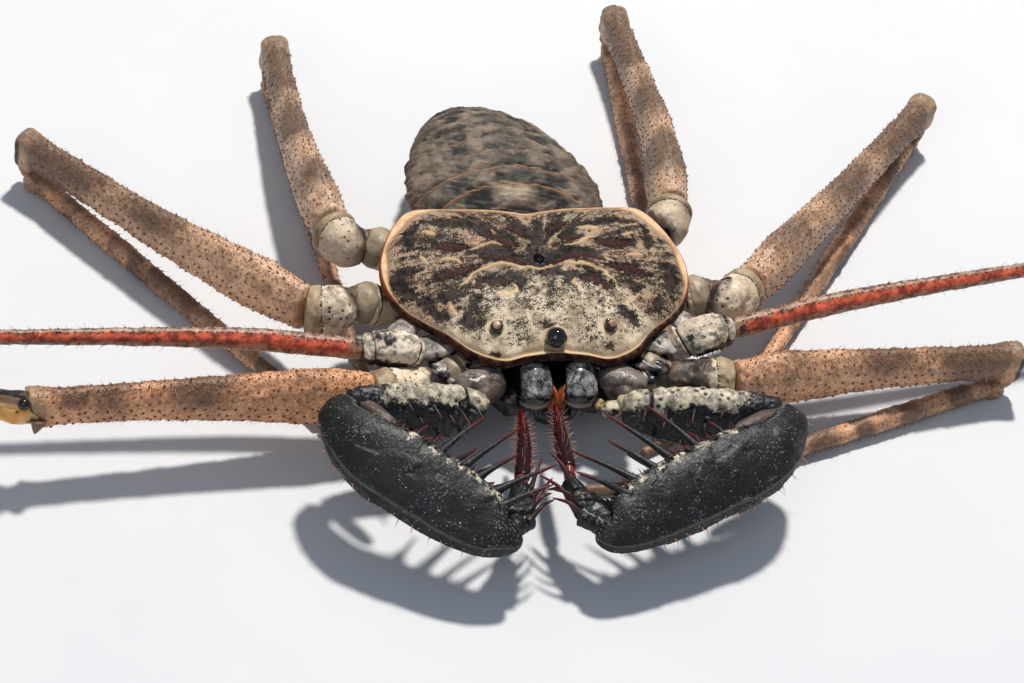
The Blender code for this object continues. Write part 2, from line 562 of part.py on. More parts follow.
def make_blade(name, points, inward, material, wrist):
    """The broad blade of the arm, with long spines in two rows on its inner edge"""
    line = smooth_line(points, 15)
    tilt = np.radians(BLADE_TILT)
    share = np.linspace(0, 1, len(line))
    profile = np.linspace(0, 1, len(BLADE_HALF_WIDTHS))
    widths = np.interp(share, profile, BLADE_HALF_WIDTHS)
    depths = np.interp(share, profile, BLADE_HALF_DEPTHS)
    turn = np.linspace(0, 2 * np.pi, 14, endpoint=False) + np.pi / 14
    rings, edges = [], []
    for place, tangent, width, depth in zip(line, np.gradient(line, axis=0), widths, depths):
        tangent = unit(tangent)
        level = unit(np.cross(UP, tangent)) * inward[0]
        across = np.cos(tilt) * level + np.sin(tilt) * UP
        across = unit(across - tangent * (across @ tangent))
        face = np.cross(tangent, across) * inward[0]
        rings.append(place + np.outer(np.cos(turn) * width, across) + np.outer(np.sin(turn) * depth, face))
        edges.append(np.concatenate([place + across * width * 0.7, level, tangent, face]))
    rings[-1] = mitre(rings[-1], line[-1], unit(line[-1] - line[-2]), wrist)
    body = make_body(name + "_patella", rings, material)
    edges = np.array(edges)
    spines = []
    for side, row in ((1, UPPER_SPINES), (-1, LOWER_SPINES)):
        for along, length, lean, rise in row:
            here = [np.interp(along + SPINE_SHIFT[name], share, column) for column in edges.T]
            edge, level, tangent, face = np.reshape(here, (4, 3))
            point = level * np.cos(np.radians(lean)) + tangent * (1, 1, 0) * np.sin(np.radians(lean))
            root = edge + face * 0.25 * side
            tip = root + point * (length + SPINE_SINK) + UP * rise
            spines.append(make_spine(root, tip, 0.1 * side, material))
    return combine(body, spines)


def centre_model():
    """Move every piece so that the model's box stands on the middle of the floor"""
    corners = np.array([np.array(body.bound_box) for body in parts.objects])
    low, high = corners.min(axis=(0, 1)), corners.max(axis=(0, 1))
    for mesh in {body.data for body in parts.objects}:
        mesh.transform(Matrix.Translation((-(low[0] + high[0]) / 2, -(low[1] + high[1]) / 2, 0)))


for leftover in list(bpy.data.objects):
    bpy.data.objects.remove(leftover)
scene = bpy.context.scene
parts = bpy.data.collections.new("whip_spider")
scene.collection.children.link(parts)
materials = {name: make_material(name) for name in COLOURS}

make_carapace()
make_eyes()
make_underside()
make_abdomen()
make_chelicera("chelicera_right", -0.7, 1)
make_chelicera("chelicera_left", 1.5, -1)
for leg_name, leg_points in LEGS.items():
    make_leg(leg_name, leg_points)
for whip_name, whip_points in WHIPS.items():
    make_whip(whip_name, whip_points)
for arm_name, arm_joints in ARMS.items():
    make_arm(arm_name, arm_joints)
centre_model()
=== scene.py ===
# Whip spider, Phrynus pulchripes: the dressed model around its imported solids.
# Shapes are worked out in millimetres in the animal's own frame, where it faces -Y and its right side is -X.
import itertools

import bpy
import numpy as np
from mathutils import Matrix, Vector


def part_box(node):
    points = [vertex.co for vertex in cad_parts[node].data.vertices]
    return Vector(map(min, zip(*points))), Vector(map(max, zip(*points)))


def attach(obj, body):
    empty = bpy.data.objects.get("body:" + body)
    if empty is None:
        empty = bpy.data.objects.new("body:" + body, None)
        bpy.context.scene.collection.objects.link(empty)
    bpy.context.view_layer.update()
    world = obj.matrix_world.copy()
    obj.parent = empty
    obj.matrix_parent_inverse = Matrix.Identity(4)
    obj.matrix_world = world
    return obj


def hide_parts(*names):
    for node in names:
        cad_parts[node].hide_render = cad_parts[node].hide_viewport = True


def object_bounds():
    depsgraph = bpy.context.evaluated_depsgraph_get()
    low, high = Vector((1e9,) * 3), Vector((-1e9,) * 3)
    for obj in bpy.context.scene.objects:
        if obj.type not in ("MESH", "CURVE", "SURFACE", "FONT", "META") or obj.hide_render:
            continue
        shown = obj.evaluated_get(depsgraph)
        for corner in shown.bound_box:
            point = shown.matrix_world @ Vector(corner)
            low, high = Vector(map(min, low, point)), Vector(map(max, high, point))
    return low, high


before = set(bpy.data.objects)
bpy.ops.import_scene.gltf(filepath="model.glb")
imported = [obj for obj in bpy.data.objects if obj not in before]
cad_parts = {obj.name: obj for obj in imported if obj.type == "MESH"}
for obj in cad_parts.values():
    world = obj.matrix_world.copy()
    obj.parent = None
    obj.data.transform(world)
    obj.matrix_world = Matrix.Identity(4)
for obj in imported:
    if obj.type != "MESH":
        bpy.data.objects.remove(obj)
solidBox = [list(corner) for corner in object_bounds()]

mm = 0.001                                  # one millimetre in metres
gap = 0.3                                   # space that the solids leave at each joint
patchSize = 0.003                           # side of each hair's patch on the coat's map
fullTurn = 2 * np.pi
up = np.array([0.0, 0.0, 1.0])
eyeMiddle = np.array([0.0, -4.15, 5.55])
offset = np.mean(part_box("eyes_middle"), axis=0) / mm - eyeMiddle
offset[2] = 0.0
room = np.array(solidBox) / mm - offset + [[0.02] * 3, [-0.02] * 3]  # the space for tips of hairs


# Shapes

def size(vectors):
    # Length of each vector: the root of the sum of its squares
    return np.linalg.norm(vectors, axis=-1)


def unit(vectors):
    # Each vector divided by its length
    return np.asarray(vectors, float) / np.maximum(size(vectors)[..., None], 1e-9)


def runOf(line):
    # Distance walked up to each point of a line
    return np.append(0, np.cumsum(size(np.diff(line, axis=0))))


def turnsOf(sides):
    # Even turns round a ring, from 0 to just short of a full one
    return np.linspace(0, fullTurn, sides, endpoint=False)


def smoothLine(points, count, closed=False):
    # Catmull-Rom curve through the points, read off at even steps of its length
    points = np.asarray(points, float)
    if closed:
        padded = np.vstack([points[-1:], points, points[:2]])
    else:
        padded = np.vstack([2 * points[:1] - points[1:2], points, 2 * points[-1:] - points[-2:-1]])
    t = np.linspace(0, 1, 24, endpoint=False)[None, :, None]
    a, b, c, d = (padded[i:len(padded) - 3 + i, None] for i in range(4))
    fine = 0.5 * (2 * b + (c - a) * t + (2 * a - 5 * b + 4 * c - d) * t ** 2 + (3 * b - a - 3 * c + d) * t ** 3)
    fine = np.vstack([fine.reshape(-1, points.shape[1]), padded[-2:-1]])
    run = runOf(fine)
    at = np.linspace(0, run[-1], count, endpoint=not closed)
    return np.stack([np.interp(at, run, column) for column in fine.T], 1)


def smoothValues(values, share):
    # Catmull-Rom curve through evenly spaced values, read at each share from 0 to 1
    curve = smoothLine(np.column_stack([np.linspace(0, 1, len(values)), values]), 240)
    return np.interp(share, curve[:, 0], curve[:, 1])


def step(value, low, high):
    # Smooth step: 3t² - 2t³ of the value's share of the way from low to high
    t = np.clip((np.asarray(value, float) - low) / (high - low), 0, 1)
    return t * t * (3 - 2 * t)


def hump(value, middle, width):
    # Bell: exp(-((value - middle) / width)²)
    return np.exp(-((value - middle) / width) ** 2)


def waves(points, scale, seed, count=8):
    # Soft noise of about -1 to 1: sines of the place along random directions, each bent by those before it
    draw = np.random.default_rng(seed)
    ways = unit(draw.normal(size=(count, 3))) * draw.uniform(4, 9, (count, 1)) / scale
    total = 0.0
    for way, phase in zip(ways, draw.uniform(0, 6.28, count)):
        total = total + np.sin(points @ way + phase + 0.7 * total)
    return total / np.sqrt(count)


def hashed(corner, seed):
    # A repeatable draw from 0 to 1 for each lattice corner: the fraction of a large sine
    mix = corner @ np.array([[127.1, 269.5, 113.5], [311.7, 183.3, 271.9], [74.7, 246.1, 124.6]])
    return np.mod(np.sin(mix + seed) * 43758.5453, 1)


def cells(points, scale, seed):
    # Distance to the nearest of points thrown one into each cube of a lattice, in cube sides
    scaled = points / scale
    base, best = np.floor(scaled), 9.0
    for corner in itertools.product((-1, 0, 1), repeat=3):
        best = np.minimum(best, size(base + corner + hashed(base + corner, seed) - scaled))
    return best


def strokes(flat, marks, swell):
    # exp(-(distance / (swell·width))²) to the nearest of the drawn marks, each a width and a row of x, y
    # points. A mark thins towards both ends with 1.15 - 0.7·place², where place runs from -1 to 1
    best = np.zeros(flat.shape[:-1])
    for width, line in marks:
        line = smoothLine(line, 4 * len(line))
        for start, stop, place in zip(line, line[1:], np.linspace(-1, 1, len(line) - 1)):
            way = stop - start
            along = np.clip((flat - start) @ way / max(way @ way, 1e-9), 0, 1)
            away = size(flat - start - along[..., None] * way)
            best = np.maximum(best, hump(away, 0, swell * width * (1.15 - 0.7 * place ** 2)))
    return best


class Tube:
    # Rings along a path: place + width·cos(turn)·side + depth·sin(turn)·rise. Each point keeps its way out, its
    # turn with the cosine and sine (wide, high), its run along the path, the run left and its share of the path
    def __init__(self, path, tangent, side, rise, width, depth, sides):
        turn, run = turnsOf(sides), runOf(path)
        width, depth, side, rise = width[:, None], depth[:, None], side[:, None], rise[:, None]
        self.grid = (path[:, None] + (width * np.cos(turn))[..., None] * side
                     + (depth * np.sin(turn))[..., None] * rise)
        self.out = unit((np.cos(turn) / width)[..., None] * side + (np.sin(turn) / depth)[..., None] * rise)
        self.tangent, self.length = tangent, run[-1]
        self.turn, self.run, self.share = np.broadcast_arrays(turn[None], run[:, None],
                                                              np.linspace(0, 1, len(path))[:, None])
        self.left, self.wide, self.high = run[-1] - self.run, np.cos(self.turn), np.sin(self.turn)

    def lift(self, height):
        # Every point moved outwards by the height given for it
        self.grid = self.grid + self.out * height[..., None]
        return self

    def soft(self, scale, seed):
        # Soft noise at every point
        return waves(self.grid, scale, seed)

    def at(self, middle, width):
        # A bell of the share along the path
        return hump(self.share, middle, width)

    def pick(self, runs, turns):
        # The point, outward direction and lengthwise direction of the surface nearest to each run and turn
        rows, sides = self.turn.shape
        row = np.clip(np.rint(runs / self.length * (rows - 1)), 0, rows - 1).astype(int)
        column = np.rint(turns / fullTurn * sides).astype(int) % sides
        return self.grid[row, column], self.out[row, column], self.tangent[row]

    def rows(self, spacing, turns, seed, start=0.4, stop=0.4):
        # Runs and turns of places in rows, one for each turn: a spacing apart, each moved by a random part of it
        draw = np.random.default_rng(seed)
        count = max(int((self.length - start - stop) / spacing), 1)
        runs = start + (np.arange(count)[None] + 0.5 * (np.arange(len(turns))[:, None] % 2)) * spacing
        runs = runs + draw.uniform(-0.3, 0.3, runs.shape) * spacing
        turns = np.asarray(turns, float)[:, None] + draw.uniform(-0.08, 0.08, runs.shape)
        return runs.ravel(), turns.ravel()


def tubeAlong(path, widths, depths, sides, lean=up):
    # A tube whose side is square to the path and to the lean, and whose rise is square to both
    tangent = unit(np.gradient(path, axis=0))
    side = unit(np.cross(tangent, lean))
    return Tube(path, tangent, side, np.cross(side, tangent), widths, depths, sides)


def carry(points, widths, depths, rows, sides, ends=(0.3, 0.3)):
    # An ellipse carried along a smooth line, with the section shrinking like a quarter circle over the two ends
    path, share = smoothLine(points, rows), np.linspace(0, 1, rows)
    run, shrink = runOf(path), np.ones(rows)
    for away, reach in ((run, ends[0]), (run[-1] - run, ends[1])):
        if reach:
            shrink = shrink * (0.45 + 0.55 * np.sqrt(1 - np.clip(1 - away / reach, 0, 1) ** 2))
    return tubeAlong(path, smoothValues(widths, share) * shrink, smoothValues(depths, share) * shrink, sides)


def spread(ways, sides):
    # A ring of directions round each way: cos(turn)·side + sin(turn)·rise
    side = unit(np.cross(ways, np.where(np.abs(ways[:, 2:]) > 0.9, [[1.0, 0, 0]], [[0, 0, 1.0]])))
    turn = turnsOf(sides)[:, None]
    return np.cos(turn) * side[:, None] + np.sin(turn) * np.cross(side, ways)[:, None]


def ringFaces(rows, sides):
    # Quads between rings, and fans to a tip after the last ring and to a foot before the first
    index = np.arange(rows * sides).reshape(rows, sides)
    after = np.roll(index, -1, axis=1)
    quads = np.stack([index[:-1], after[:-1], after[1:], index[1:]], -1).reshape(-1, 4)
    tips = np.stack([index[-1], after[-1], np.full(sides, rows * sides)], -1)
    feet = np.stack([after[0], index[0], np.full(sides, rows * sides + 1)], -1)
    return quads, np.vstack([tips, feet])


class Piece:
    # Gathers closed surfaces with their values at each point, and makes one mesh of them
    def __init__(self, name):
        self.name, self.points, self.faces, self.values, self.count = name, [], [], [], 0

    def add(self, points, faces, **values):
        # Faces are turned outwards: the signed volume, a third of the sum of corner · area, comes out above 0
        points = np.asarray(points, float).reshape(-1, 3)
        volume = 0.0
        for group in faces:
            corners = points[group]
            for k in range(2, group.shape[1]):
                volume += np.einsum("ij,ij", corners[:, 0], np.cross(corners[:, k - 1], corners[:, k]))
        for group in faces:
            self.faces.append((group if volume > 0 else group[:, ::-1]) + self.count)
        self.points.append(points)
        self.values.append({key: np.broadcast_to(np.ravel(value), len(points))
                            for key, value in values.items()})
        self.count += len(points)

    def addGrid(self, grid, **values):
        # A tube of rings, each ring closed on itself, with a point in the middle of each end
        rows, sides = grid.shape[:2]
        full = {}
        for key, value in values.items():
            value = np.broadcast_to(np.asarray(value, float), (rows, sides))
            full[key] = np.append(value.ravel(), [value[-1].mean(), value[0].mean()])
        self.add(np.vstack([grid.reshape(-1, 3), grid[-1].mean(0), grid[0].mean(0)]), ringFaces(rows, sides),
                 **full)

    def addTube(self, tube, **values):
        # The grid of a tube
        self.addGrid(tube.grid, **values)

    def addMany(self, rings, tips, feet, **values):
        # Many small shapes with the same faces: each has its rings, a tip and a foot
        count, steps, sides = rings.shape[:3]
        points = np.concatenate([rings.reshape(count, -1, 3), tips[:, None], feet[:, None]], 1)
        starts = (np.arange(count) * points.shape[1])[:, None, None]
        full = {key: np.broadcast_to(value if np.ndim(value) == 2 else np.reshape(value, (-1, 1)),
                                     points.shape[:2])
                for key, value in values.items()}
        self.add(points, [(group + starts).reshape(-1, group.shape[1]) for group in ringFaces(steps, sides)],
                 **full)

    def addSpikes(self, roots, ways, lengths, widths, bends, sides=3, steps=3, sharp=0.8, **values):
        # Bowed spikes: ring k stands at root + length·k·way + bend·k², its radius is width·(1 - k)^sharp. Hairs
        # with u and v each cover their own small patch of the map
        count, ways, level = len(roots), unit(ways), np.linspace(0, 1, steps + 1)
        lengths, widths, bends = (np.broadcast_to(part, shape)[:, None] for part, shape in (
            (lengths, count), (widths, count), (bends, (count, 3))))
        spine = roots[:, None] + level[:, None] * (lengths * ways)[:, None] + (level ** 2)[:, None] * bends
        radius = widths * (1 - level[:-1]) ** sharp
        share = np.append(np.repeat(level[:-1], sides), [1, 0])
        about = np.append(np.tile(np.arange(sides) / sides, steps), [0, 0])
        for key, part in (("u", share), ("v", about)):
            if key in values:
                values[key] = values[key][:, None] + patchSize * part
        self.addMany(spine[:, :-1, None] + radius[..., None, None] * spread(ways, sides)[:, None], spine[:, -1],
                     spine[:, 0], tip=share[None], **values)

    def addBeads(self, roots, outs, widths, heights, sides=6, **values):
        # Low domes: a sunk base ring, a ring at 0.7 of the height and 0.68 of the width, and a top
        count, outs = len(roots), unit(outs)
        ring = np.broadcast_to(widths, count)[:, None, None] * spread(outs, sides)
        rise = np.broadcast_to(heights, count)[:, None] * outs
        rings = np.stack([ring - 0.25 * rise[:, None], 0.68 * ring + 0.7 * rise[:, None]], 1)
        self.addMany(roots[:, None, None] + rings, roots + rise, roots - 0.3 * rise, **values)

    def make(self, material, slot, *nodes):
        # The gathered arrays as one smooth mesh in the frame's metres; u and v become the map of the coat
        points = np.clip(np.vstack(self.points) * mm + offset * mm, *solidBox)
        mesh = bpy.data.meshes.new(self.name)
        corners = np.concatenate([group.ravel() for group in self.faces])
        sizes = np.concatenate([np.full(len(group), group.shape[1]) for group in self.faces])
        mesh.vertices.add(len(points))
        mesh.vertices.foreach_set("co", points.ravel())
        mesh.loops.add(len(corners))
        mesh.loops.foreach_set("vertex_index", corners)
        mesh.polygons.add(len(sizes))
        mesh.polygons.foreach_set("loop_start", np.append(0, np.cumsum(sizes)[:-1]))
        mesh.polygons.foreach_set("use_smooth", np.ones(len(sizes), bool))
        keys = sorted({key for values in self.values for key in values})
        columns = {key: np.concatenate([values.get(key, np.zeros(len(part)))
                                        for values, part in zip(self.values, self.points)]) for key in keys}
        if "u" in columns:
            layer = mesh.uv_layers.new(name="OFBake")
            layer.data.foreach_set("uv", np.column_stack([columns.pop("u"), columns.pop("v")])[corners].ravel())
        for key, column in columns.items():
            mesh.attributes.new(key, "FLOAT", "POINT").data.foreach_set("value", column)
        mesh.update(calc_edges=True)
        mesh.validate()
        mesh.materials.append(material)
        piece = bpy.data.objects.new(self.name, mesh)
        bpy.context.scene.collection.objects.link(piece)
        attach(piece, "root")
        if nodes:
            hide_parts(*nodes)
        print(self.name, "has", int((sizes - 2).sum()), "triangles")


# Finishes

def colour(red, green, blue):
    # An 8 bit screen colour as linear light: ((c + 0.055) / 1.055)^2.4
    return tuple(((c / 255 + 0.055) / 1.055) ** 2.4 if c > 10 else c / 3294
                 for c in (red, green, blue)) + (1.0,)


class Wire:
    # One output of a material's nodes. Arithmetic on wires adds Math nodes, and add() any other node
    def __init__(self, tree, socket=None):
        self.tree, self.socket = tree, socket

    def add(self, kind, settings=None, sockets=None, output=0):
        # A node with its settings and its sockets' values or links; stops are those of a ramp
        node = self.tree.nodes.new("ShaderNode" + kind)
        for key, value in (settings or {}).items():
            if key == "stops":
                ramp = node.color_ramp.elements
                for number, (place, tint) in enumerate(value):
                    stop = ramp[number] if number < 2 else ramp.new(place)
                    stop.position, stop.color = place, colour(*tint)
            else:
                setattr(node, key, value)
        for key, value in (sockets or {}).items():
            if isinstance(value, Wire):
                self.tree.links.new(value.socket, node.inputs[key])
            else:
                node.inputs[key].default_value = value
        return Wire(self.tree, node.outputs[output] if len(node.outputs) else None)

    def maths(self, operation, first, second):
        # One Math node
        return self.add("Math", {"operation": operation}, {0: first, 1: second})

    def __add__(self, other):
        return self.maths("ADD", self, other)

    def __sub__(self, other):
        return self.maths("SUBTRACT", self, other)

    def __rsub__(self, other):
        return self.maths("SUBTRACT", other, self)

    def __mul__(self, other):
        return self.maths("MULTIPLY", self, other)

    __radd__, __rmul__ = __add__, __mul__

    def value(self, name):
        # The value that the mesh keeps at each point under this name
        return self.add("Attribute", {"attribute_name": name}, output="Fac")

    def band(self, low, high):
        # Smooth step of this wire from 0 at low to 1 at high
        return self.add("MapRange", {"interpolation_type": "SMOOTHSTEP"},
                        {"Value": self, "From Min": low, "From Max": high})

    def noise(self, scale, detail=3.0, rough=0.6, bend=0.0):
        # Noise on Object coordinates; scale is in waves per metre
        return self.add("TexNoise", None, {"Vector": self.add("TexCoord", output="Object"), "Scale": scale,
                                           "Detail": detail, "Roughness": rough, "Distortion": bend})

    def grains(self, scale, feature="F1"):
        # Distance in a cell pattern on Object coordinates
        return self.add("TexVoronoi", {"feature": feature},
                        {"Vector": self.add("TexCoord", output="Object"), "Scale": scale}, "Distance")

    def blend(self, mask, first, second):
        # first where the mask is 0, second where it is 1. A mask may be the name of a value, and the two may be
        # wires or screen colours
        if isinstance(mask, str):
            mask = self.value(mask)
        first, second = (part if isinstance(part, Wire) else colour(*part) for part in (first, second))
        return self.add("Mix", {"data_type": "RGBA"}, {0: mask, 6: first, 7: second}, 2)

    def coat(self, mask, tint):
        # This colour with the tint laid over it where the mask is 1
        return self.blend(mask, self, tint)

    def mottle(self, scale, detail, low, high, first, second, rough=0.6):
        # Two tints parted by a band of noise
        return self.blend(self.noise(scale, detail, rough).band(low, high), first, second)

    def surface(self, tint, rough, height, distance, strength):
        # Colour, roughness and bump as the shader's sockets
        bump = self.add("Bump", None, {"Height": height, "Distance": distance, "Strength": strength})
        return {"Base Color": tint, "Roughness": rough, "Normal": bump}


def finish(name, paint, plain=None):
    # A Principled material: paint(wire) gives what varies, plain the fixed values of the shader's own sockets
    material = bpy.data.materials.new(name)
    material.use_nodes = True
    material.node_tree.nodes.clear()
    wire = Wire(material.node_tree)
    shader = wire.add("BsdfPrincipled", None, {**(plain or {}), **paint(wire)})
    wire.add("OutputMaterial", None, {"Surface": shader})
    return material


# Carapace

carapace = {
    "half": [(0.0, -4.72), (1.4, -4.83), (2.5, -5.08), (3.3, -4.88), (4.15, -4.32), (4.9, -3.4), (5.3, -2.98),
             (6.1, -2.3), (6.95, -1.3), (7.42, 0.0), (7.5, 1.25), (7.2, 2.4), (6.7, 3.45), (6.12, 4.22),
             (5.5, 4.57), (4.4, 4.55), (3.2, 4.45), (1.8, 4.33), (0.7, 4.15), (0.0, 4.02)],
    "middle": (0.0, 0.4), "height": 5.45, "slope": 0.1, "droop": 0.0095, "dome": 0.85, "thickness": 0.55,
    "rings": 150, "around": 560, "fovea": (-0.08, 0.5), "lobes": [(-0.65, 1.45), (0.95, 1.6)],
    "eyeRings": [((0, -4.15), 0.5), ((2.76, -3.45), 0.34), ((-2.76, -3.45), 0.34)],
    # rings below the rim: share of the outline and drop
    "below": [(1.004, -0.06), (1.006, -0.13), (0.99, -0.18), (0.99, -0.22), (1.002, -0.27), (1.002, -0.34),
              (0.985, -0.42), (0.93, -0.55), (0.6, -0.55), (0.2, -0.55)],
    # waves round the pit: how many, how long and their seed
    "rays": [(2.2, 0.16, 6), (5.0, 0.1, 16), (11.0, 0.16, 17)],
    "swells": {"maroon": 2.1, "black": 1.3, "grey": 1.3, "cream": 1.4},
    # markings as half widths and lines of x and y, the animal's right side first
    "maroon": [
        (0.15, [(-0.8, 0.2), (-1.4, 0.53), (-2.2, 0.75), (-2.8, 0.8)]),
        (0.15, [(-1.1, 1.3), (-1.6, 1.75), (-2.2, 2.1), (-2.75, 2.25)]),
        (0.2, [(-3.45, 1.55), (-4.25, 1.65), (-4.9, 1.9)]), (0.14, [(-0.55, 1.95), (-0.9, 2.4), (-1.15, 2.75)]),
        (0.17, [(-3.1, 0.25), (-3.8, 0.15), (-4.5, 0.0), (-5.2, -0.15)]),
        (0.2, [(-2.65, -0.9), (-2.25, -0.75), (-1.85, -0.9)]), (0.15, [(-3.0, -0.6), (-3.35, -0.9)]),
        (0.17, [(0.6, 0.1), (1.25, 0.6), (2.1, 0.83), (3.0, 0.57)]),
        (0.15, [(0.75, 1.27), (1.45, 1.76), (2.35, 2.02)]), (0.2, [(3.0, 1.73), (3.8, 1.7), (5.0, 1.98)]),
        (0.14, [(0.62, 2.23), (1.23, 2.7), (1.72, 3.04)]),
        (0.17, [(3.15, 0.2), (3.9, 0.22), (4.7, 0.05), (5.45, -0.1)]),
        (0.2, [(1.95, -0.66), (2.5, -0.57), (2.53, -1.0)]), (0.15, [(2.8, -0.75), (3.23, -1.18)]),
    ],
    "black": [
        (0.19, [(-1.0, 0.5), (-1.5, 0.86), (-1.95, 1.07), (-2.75, 1.15), (-3.55, 0.97)]),
        (0.17, [(-1.2, 1.8), (-1.75, 2.26), (-2.45, 2.73), (-3.4, 3.0), (-4.2, 3.15), (-5.25, 3.7)]),
        (0.26, [(-5.95, 0.46), (-6.45, 0.47), (-6.7, 0.12), (-6.5, -0.58), (-6.2, -0.86)]),
        (0.19, [(-5.4, 3.5), (-5.8, 3.0), (-6.05, 2.1)]),
        (0.2, [(-5.8, -1.15), (-5.6, -1.75), (-5.3, -2.15), (-4.85, -2.35)]),
        (0.21, [(-1.65, -0.36), (-1.23, -0.76), (-1.38, -1.37)]), (0.15, [(-3.25, -1.53), (-3.8, -1.9)]),
        (0.1, [(-3.15, -4.5), (-2.75, -4.65)]), (0.17, [(0.6, 0.47), (1.2, 0.94), (1.95, 1.1), (2.8, 0.94)]),
        (0.17, [(1.2, 1.96), (2.0, 2.44), (2.95, 2.86), (4.1, 3.3), (5.35, 3.42)]),
        (0.24, [(6.05, 0.58), (6.55, 0.44), (6.5, -0.1), (6.15, -0.6)]),
        (0.17, [(5.55, 3.2), (5.8, 2.7), (5.6, 1.65)]),
        (0.2, [(5.6, -1.23), (5.45, -1.72), (5.45, -2.06), (4.85, -2.3)]),
        (0.21, [(1.6, -0.42), (1.16, -0.81), (1.33, -1.31)]),
        (0.18, [(-0.75, 3.0), (-0.3, 2.25), (-0.05, 1.4)]),
        (0.18, [(1.4, 3.0), (0.72, 2.24), (0.16, 1.4)]), (0.18, [(0.28, 3.15), (0.13, 1.8)]),
        (0.12, [(-0.16, -0.42), (0.47, -0.37), (1.07, -0.43)]), (0.17, [(-0.4, -3.25), (-0.05, -3.5)]),
        (0.14, [(2.4, -4.5), (2.8, -4.4)]), (0.3, [(-3.6, -2.1), (-3.95, -2.9)]),
        (0.26, [(3.5, -2.2), (4.1, -2.8)]),
    ],
    "grey": [
        (0.25, [(-3.45, -2.2), (-2.8, -1.95), (-2.3, -1.95)]), (0.32, [(-4.1, -2.6), (-4.1, -3.13)]),
        (0.22, [(-3.4, -3.25), (-3.6, -2.8)]), (0.18, [(2.25, -2.0), (2.85, -2.16), (3.25, -2.23)]),
        (0.22, [(1.6, -2.8), (1.85, -3.2)]), (0.26, [(4.15, -2.65), (4.3, -3.14)]),
        (0.3, [(0.2, -0.8), (0.25, -1.7), (0.1, -2.5)]), (0.3, [(-1.5, -1.9), (-1.0, -2.3)]),
        (0.3, [(3.9, -0.5), (4.6, -1.2)]), (0.3, [(-4.2, -0.9), (-4.9, -1.4)]),
        (0.35, [(-2.0, -3.3), (-1.3, -3.9)]),
        (0.3, [(1.6, -3.9), (2.2, -4.3)]),
    ],
    "cream": [
        (0.1, [(-4.25, -1.0), (-3.55, -0.27), (-2.9, 0.02), (-2.1, 0.19), (-1.1, 0.06), (-0.2, -0.17),
               (0.2, -0.11), (0.75, 0.06), (1.6, 0.2), (2.4, 0.06), (3.06, -0.33), (3.4, -0.8), (3.53, -1.27)]),
        (0.09, [(-3.3, 1.2), (-2.7, 1.38), (-2.1, 1.45), (-1.8, 1.36)]),
        (0.07, [(-3.75, 0.4), (-4.2, 0.88), (-4.85, 0.9)]),
        (0.09, [(1.4, 1.34), (2.17, 1.65), (2.97, 1.94)]), (0.1, [(0.52, 1.13), (1.1, 1.47)]),
        (0.1, [(2.4, 0.52), (3.12, 0.58), (3.74, 0.45)]), (0.08, [(-1.4, 0.66), (-0.85, 0.37)]),
        (0.1, [(-1.7, -1.05), (-1.5, -1.34), (-1.76, -1.6), (-2.35, -1.6)]),
        (0.11, [(1.52, -0.8), (1.35, -1.18), (1.72, -1.48)]), (0.08, [(-5.2, 2.85), (-4.8, 2.5)]),
        (0.09, [(-2.1, 2.53), (-1.8, 1.9)]), (0.07, [(-5.35, 0.8), (-5.7, 1.2)]),
        (0.07, [(4.4, 2.4), (5.0, 2.6)]),
        (0.1, [(2.2, 2.5), (3.2, 2.5)]), (0.1, [(4.3, 0.9), (5.2, 1.1)]),
        (0.1, [(4.6, -1.4), (4.0, -1.9), (3.9, -2.4)]),
        (0.1, [(-4.7, -1.7), (-4.5, -2.3)]),
    ],
}


def outline(count):
    # The shield's outline seen from above: the half and its mirror image as one closed smooth line
    half = np.array(carapace["half"], float)
    return smoothLine(np.vstack([half, half[-2:0:-1] * (-1, 1)]), count, closed=True)


def rimHeight(x, y):
    # A plane that rises to the rear and droops to the sides with x²
    return carapace["height"] + carapace["slope"] * y - carapace["droop"] * x ** 2


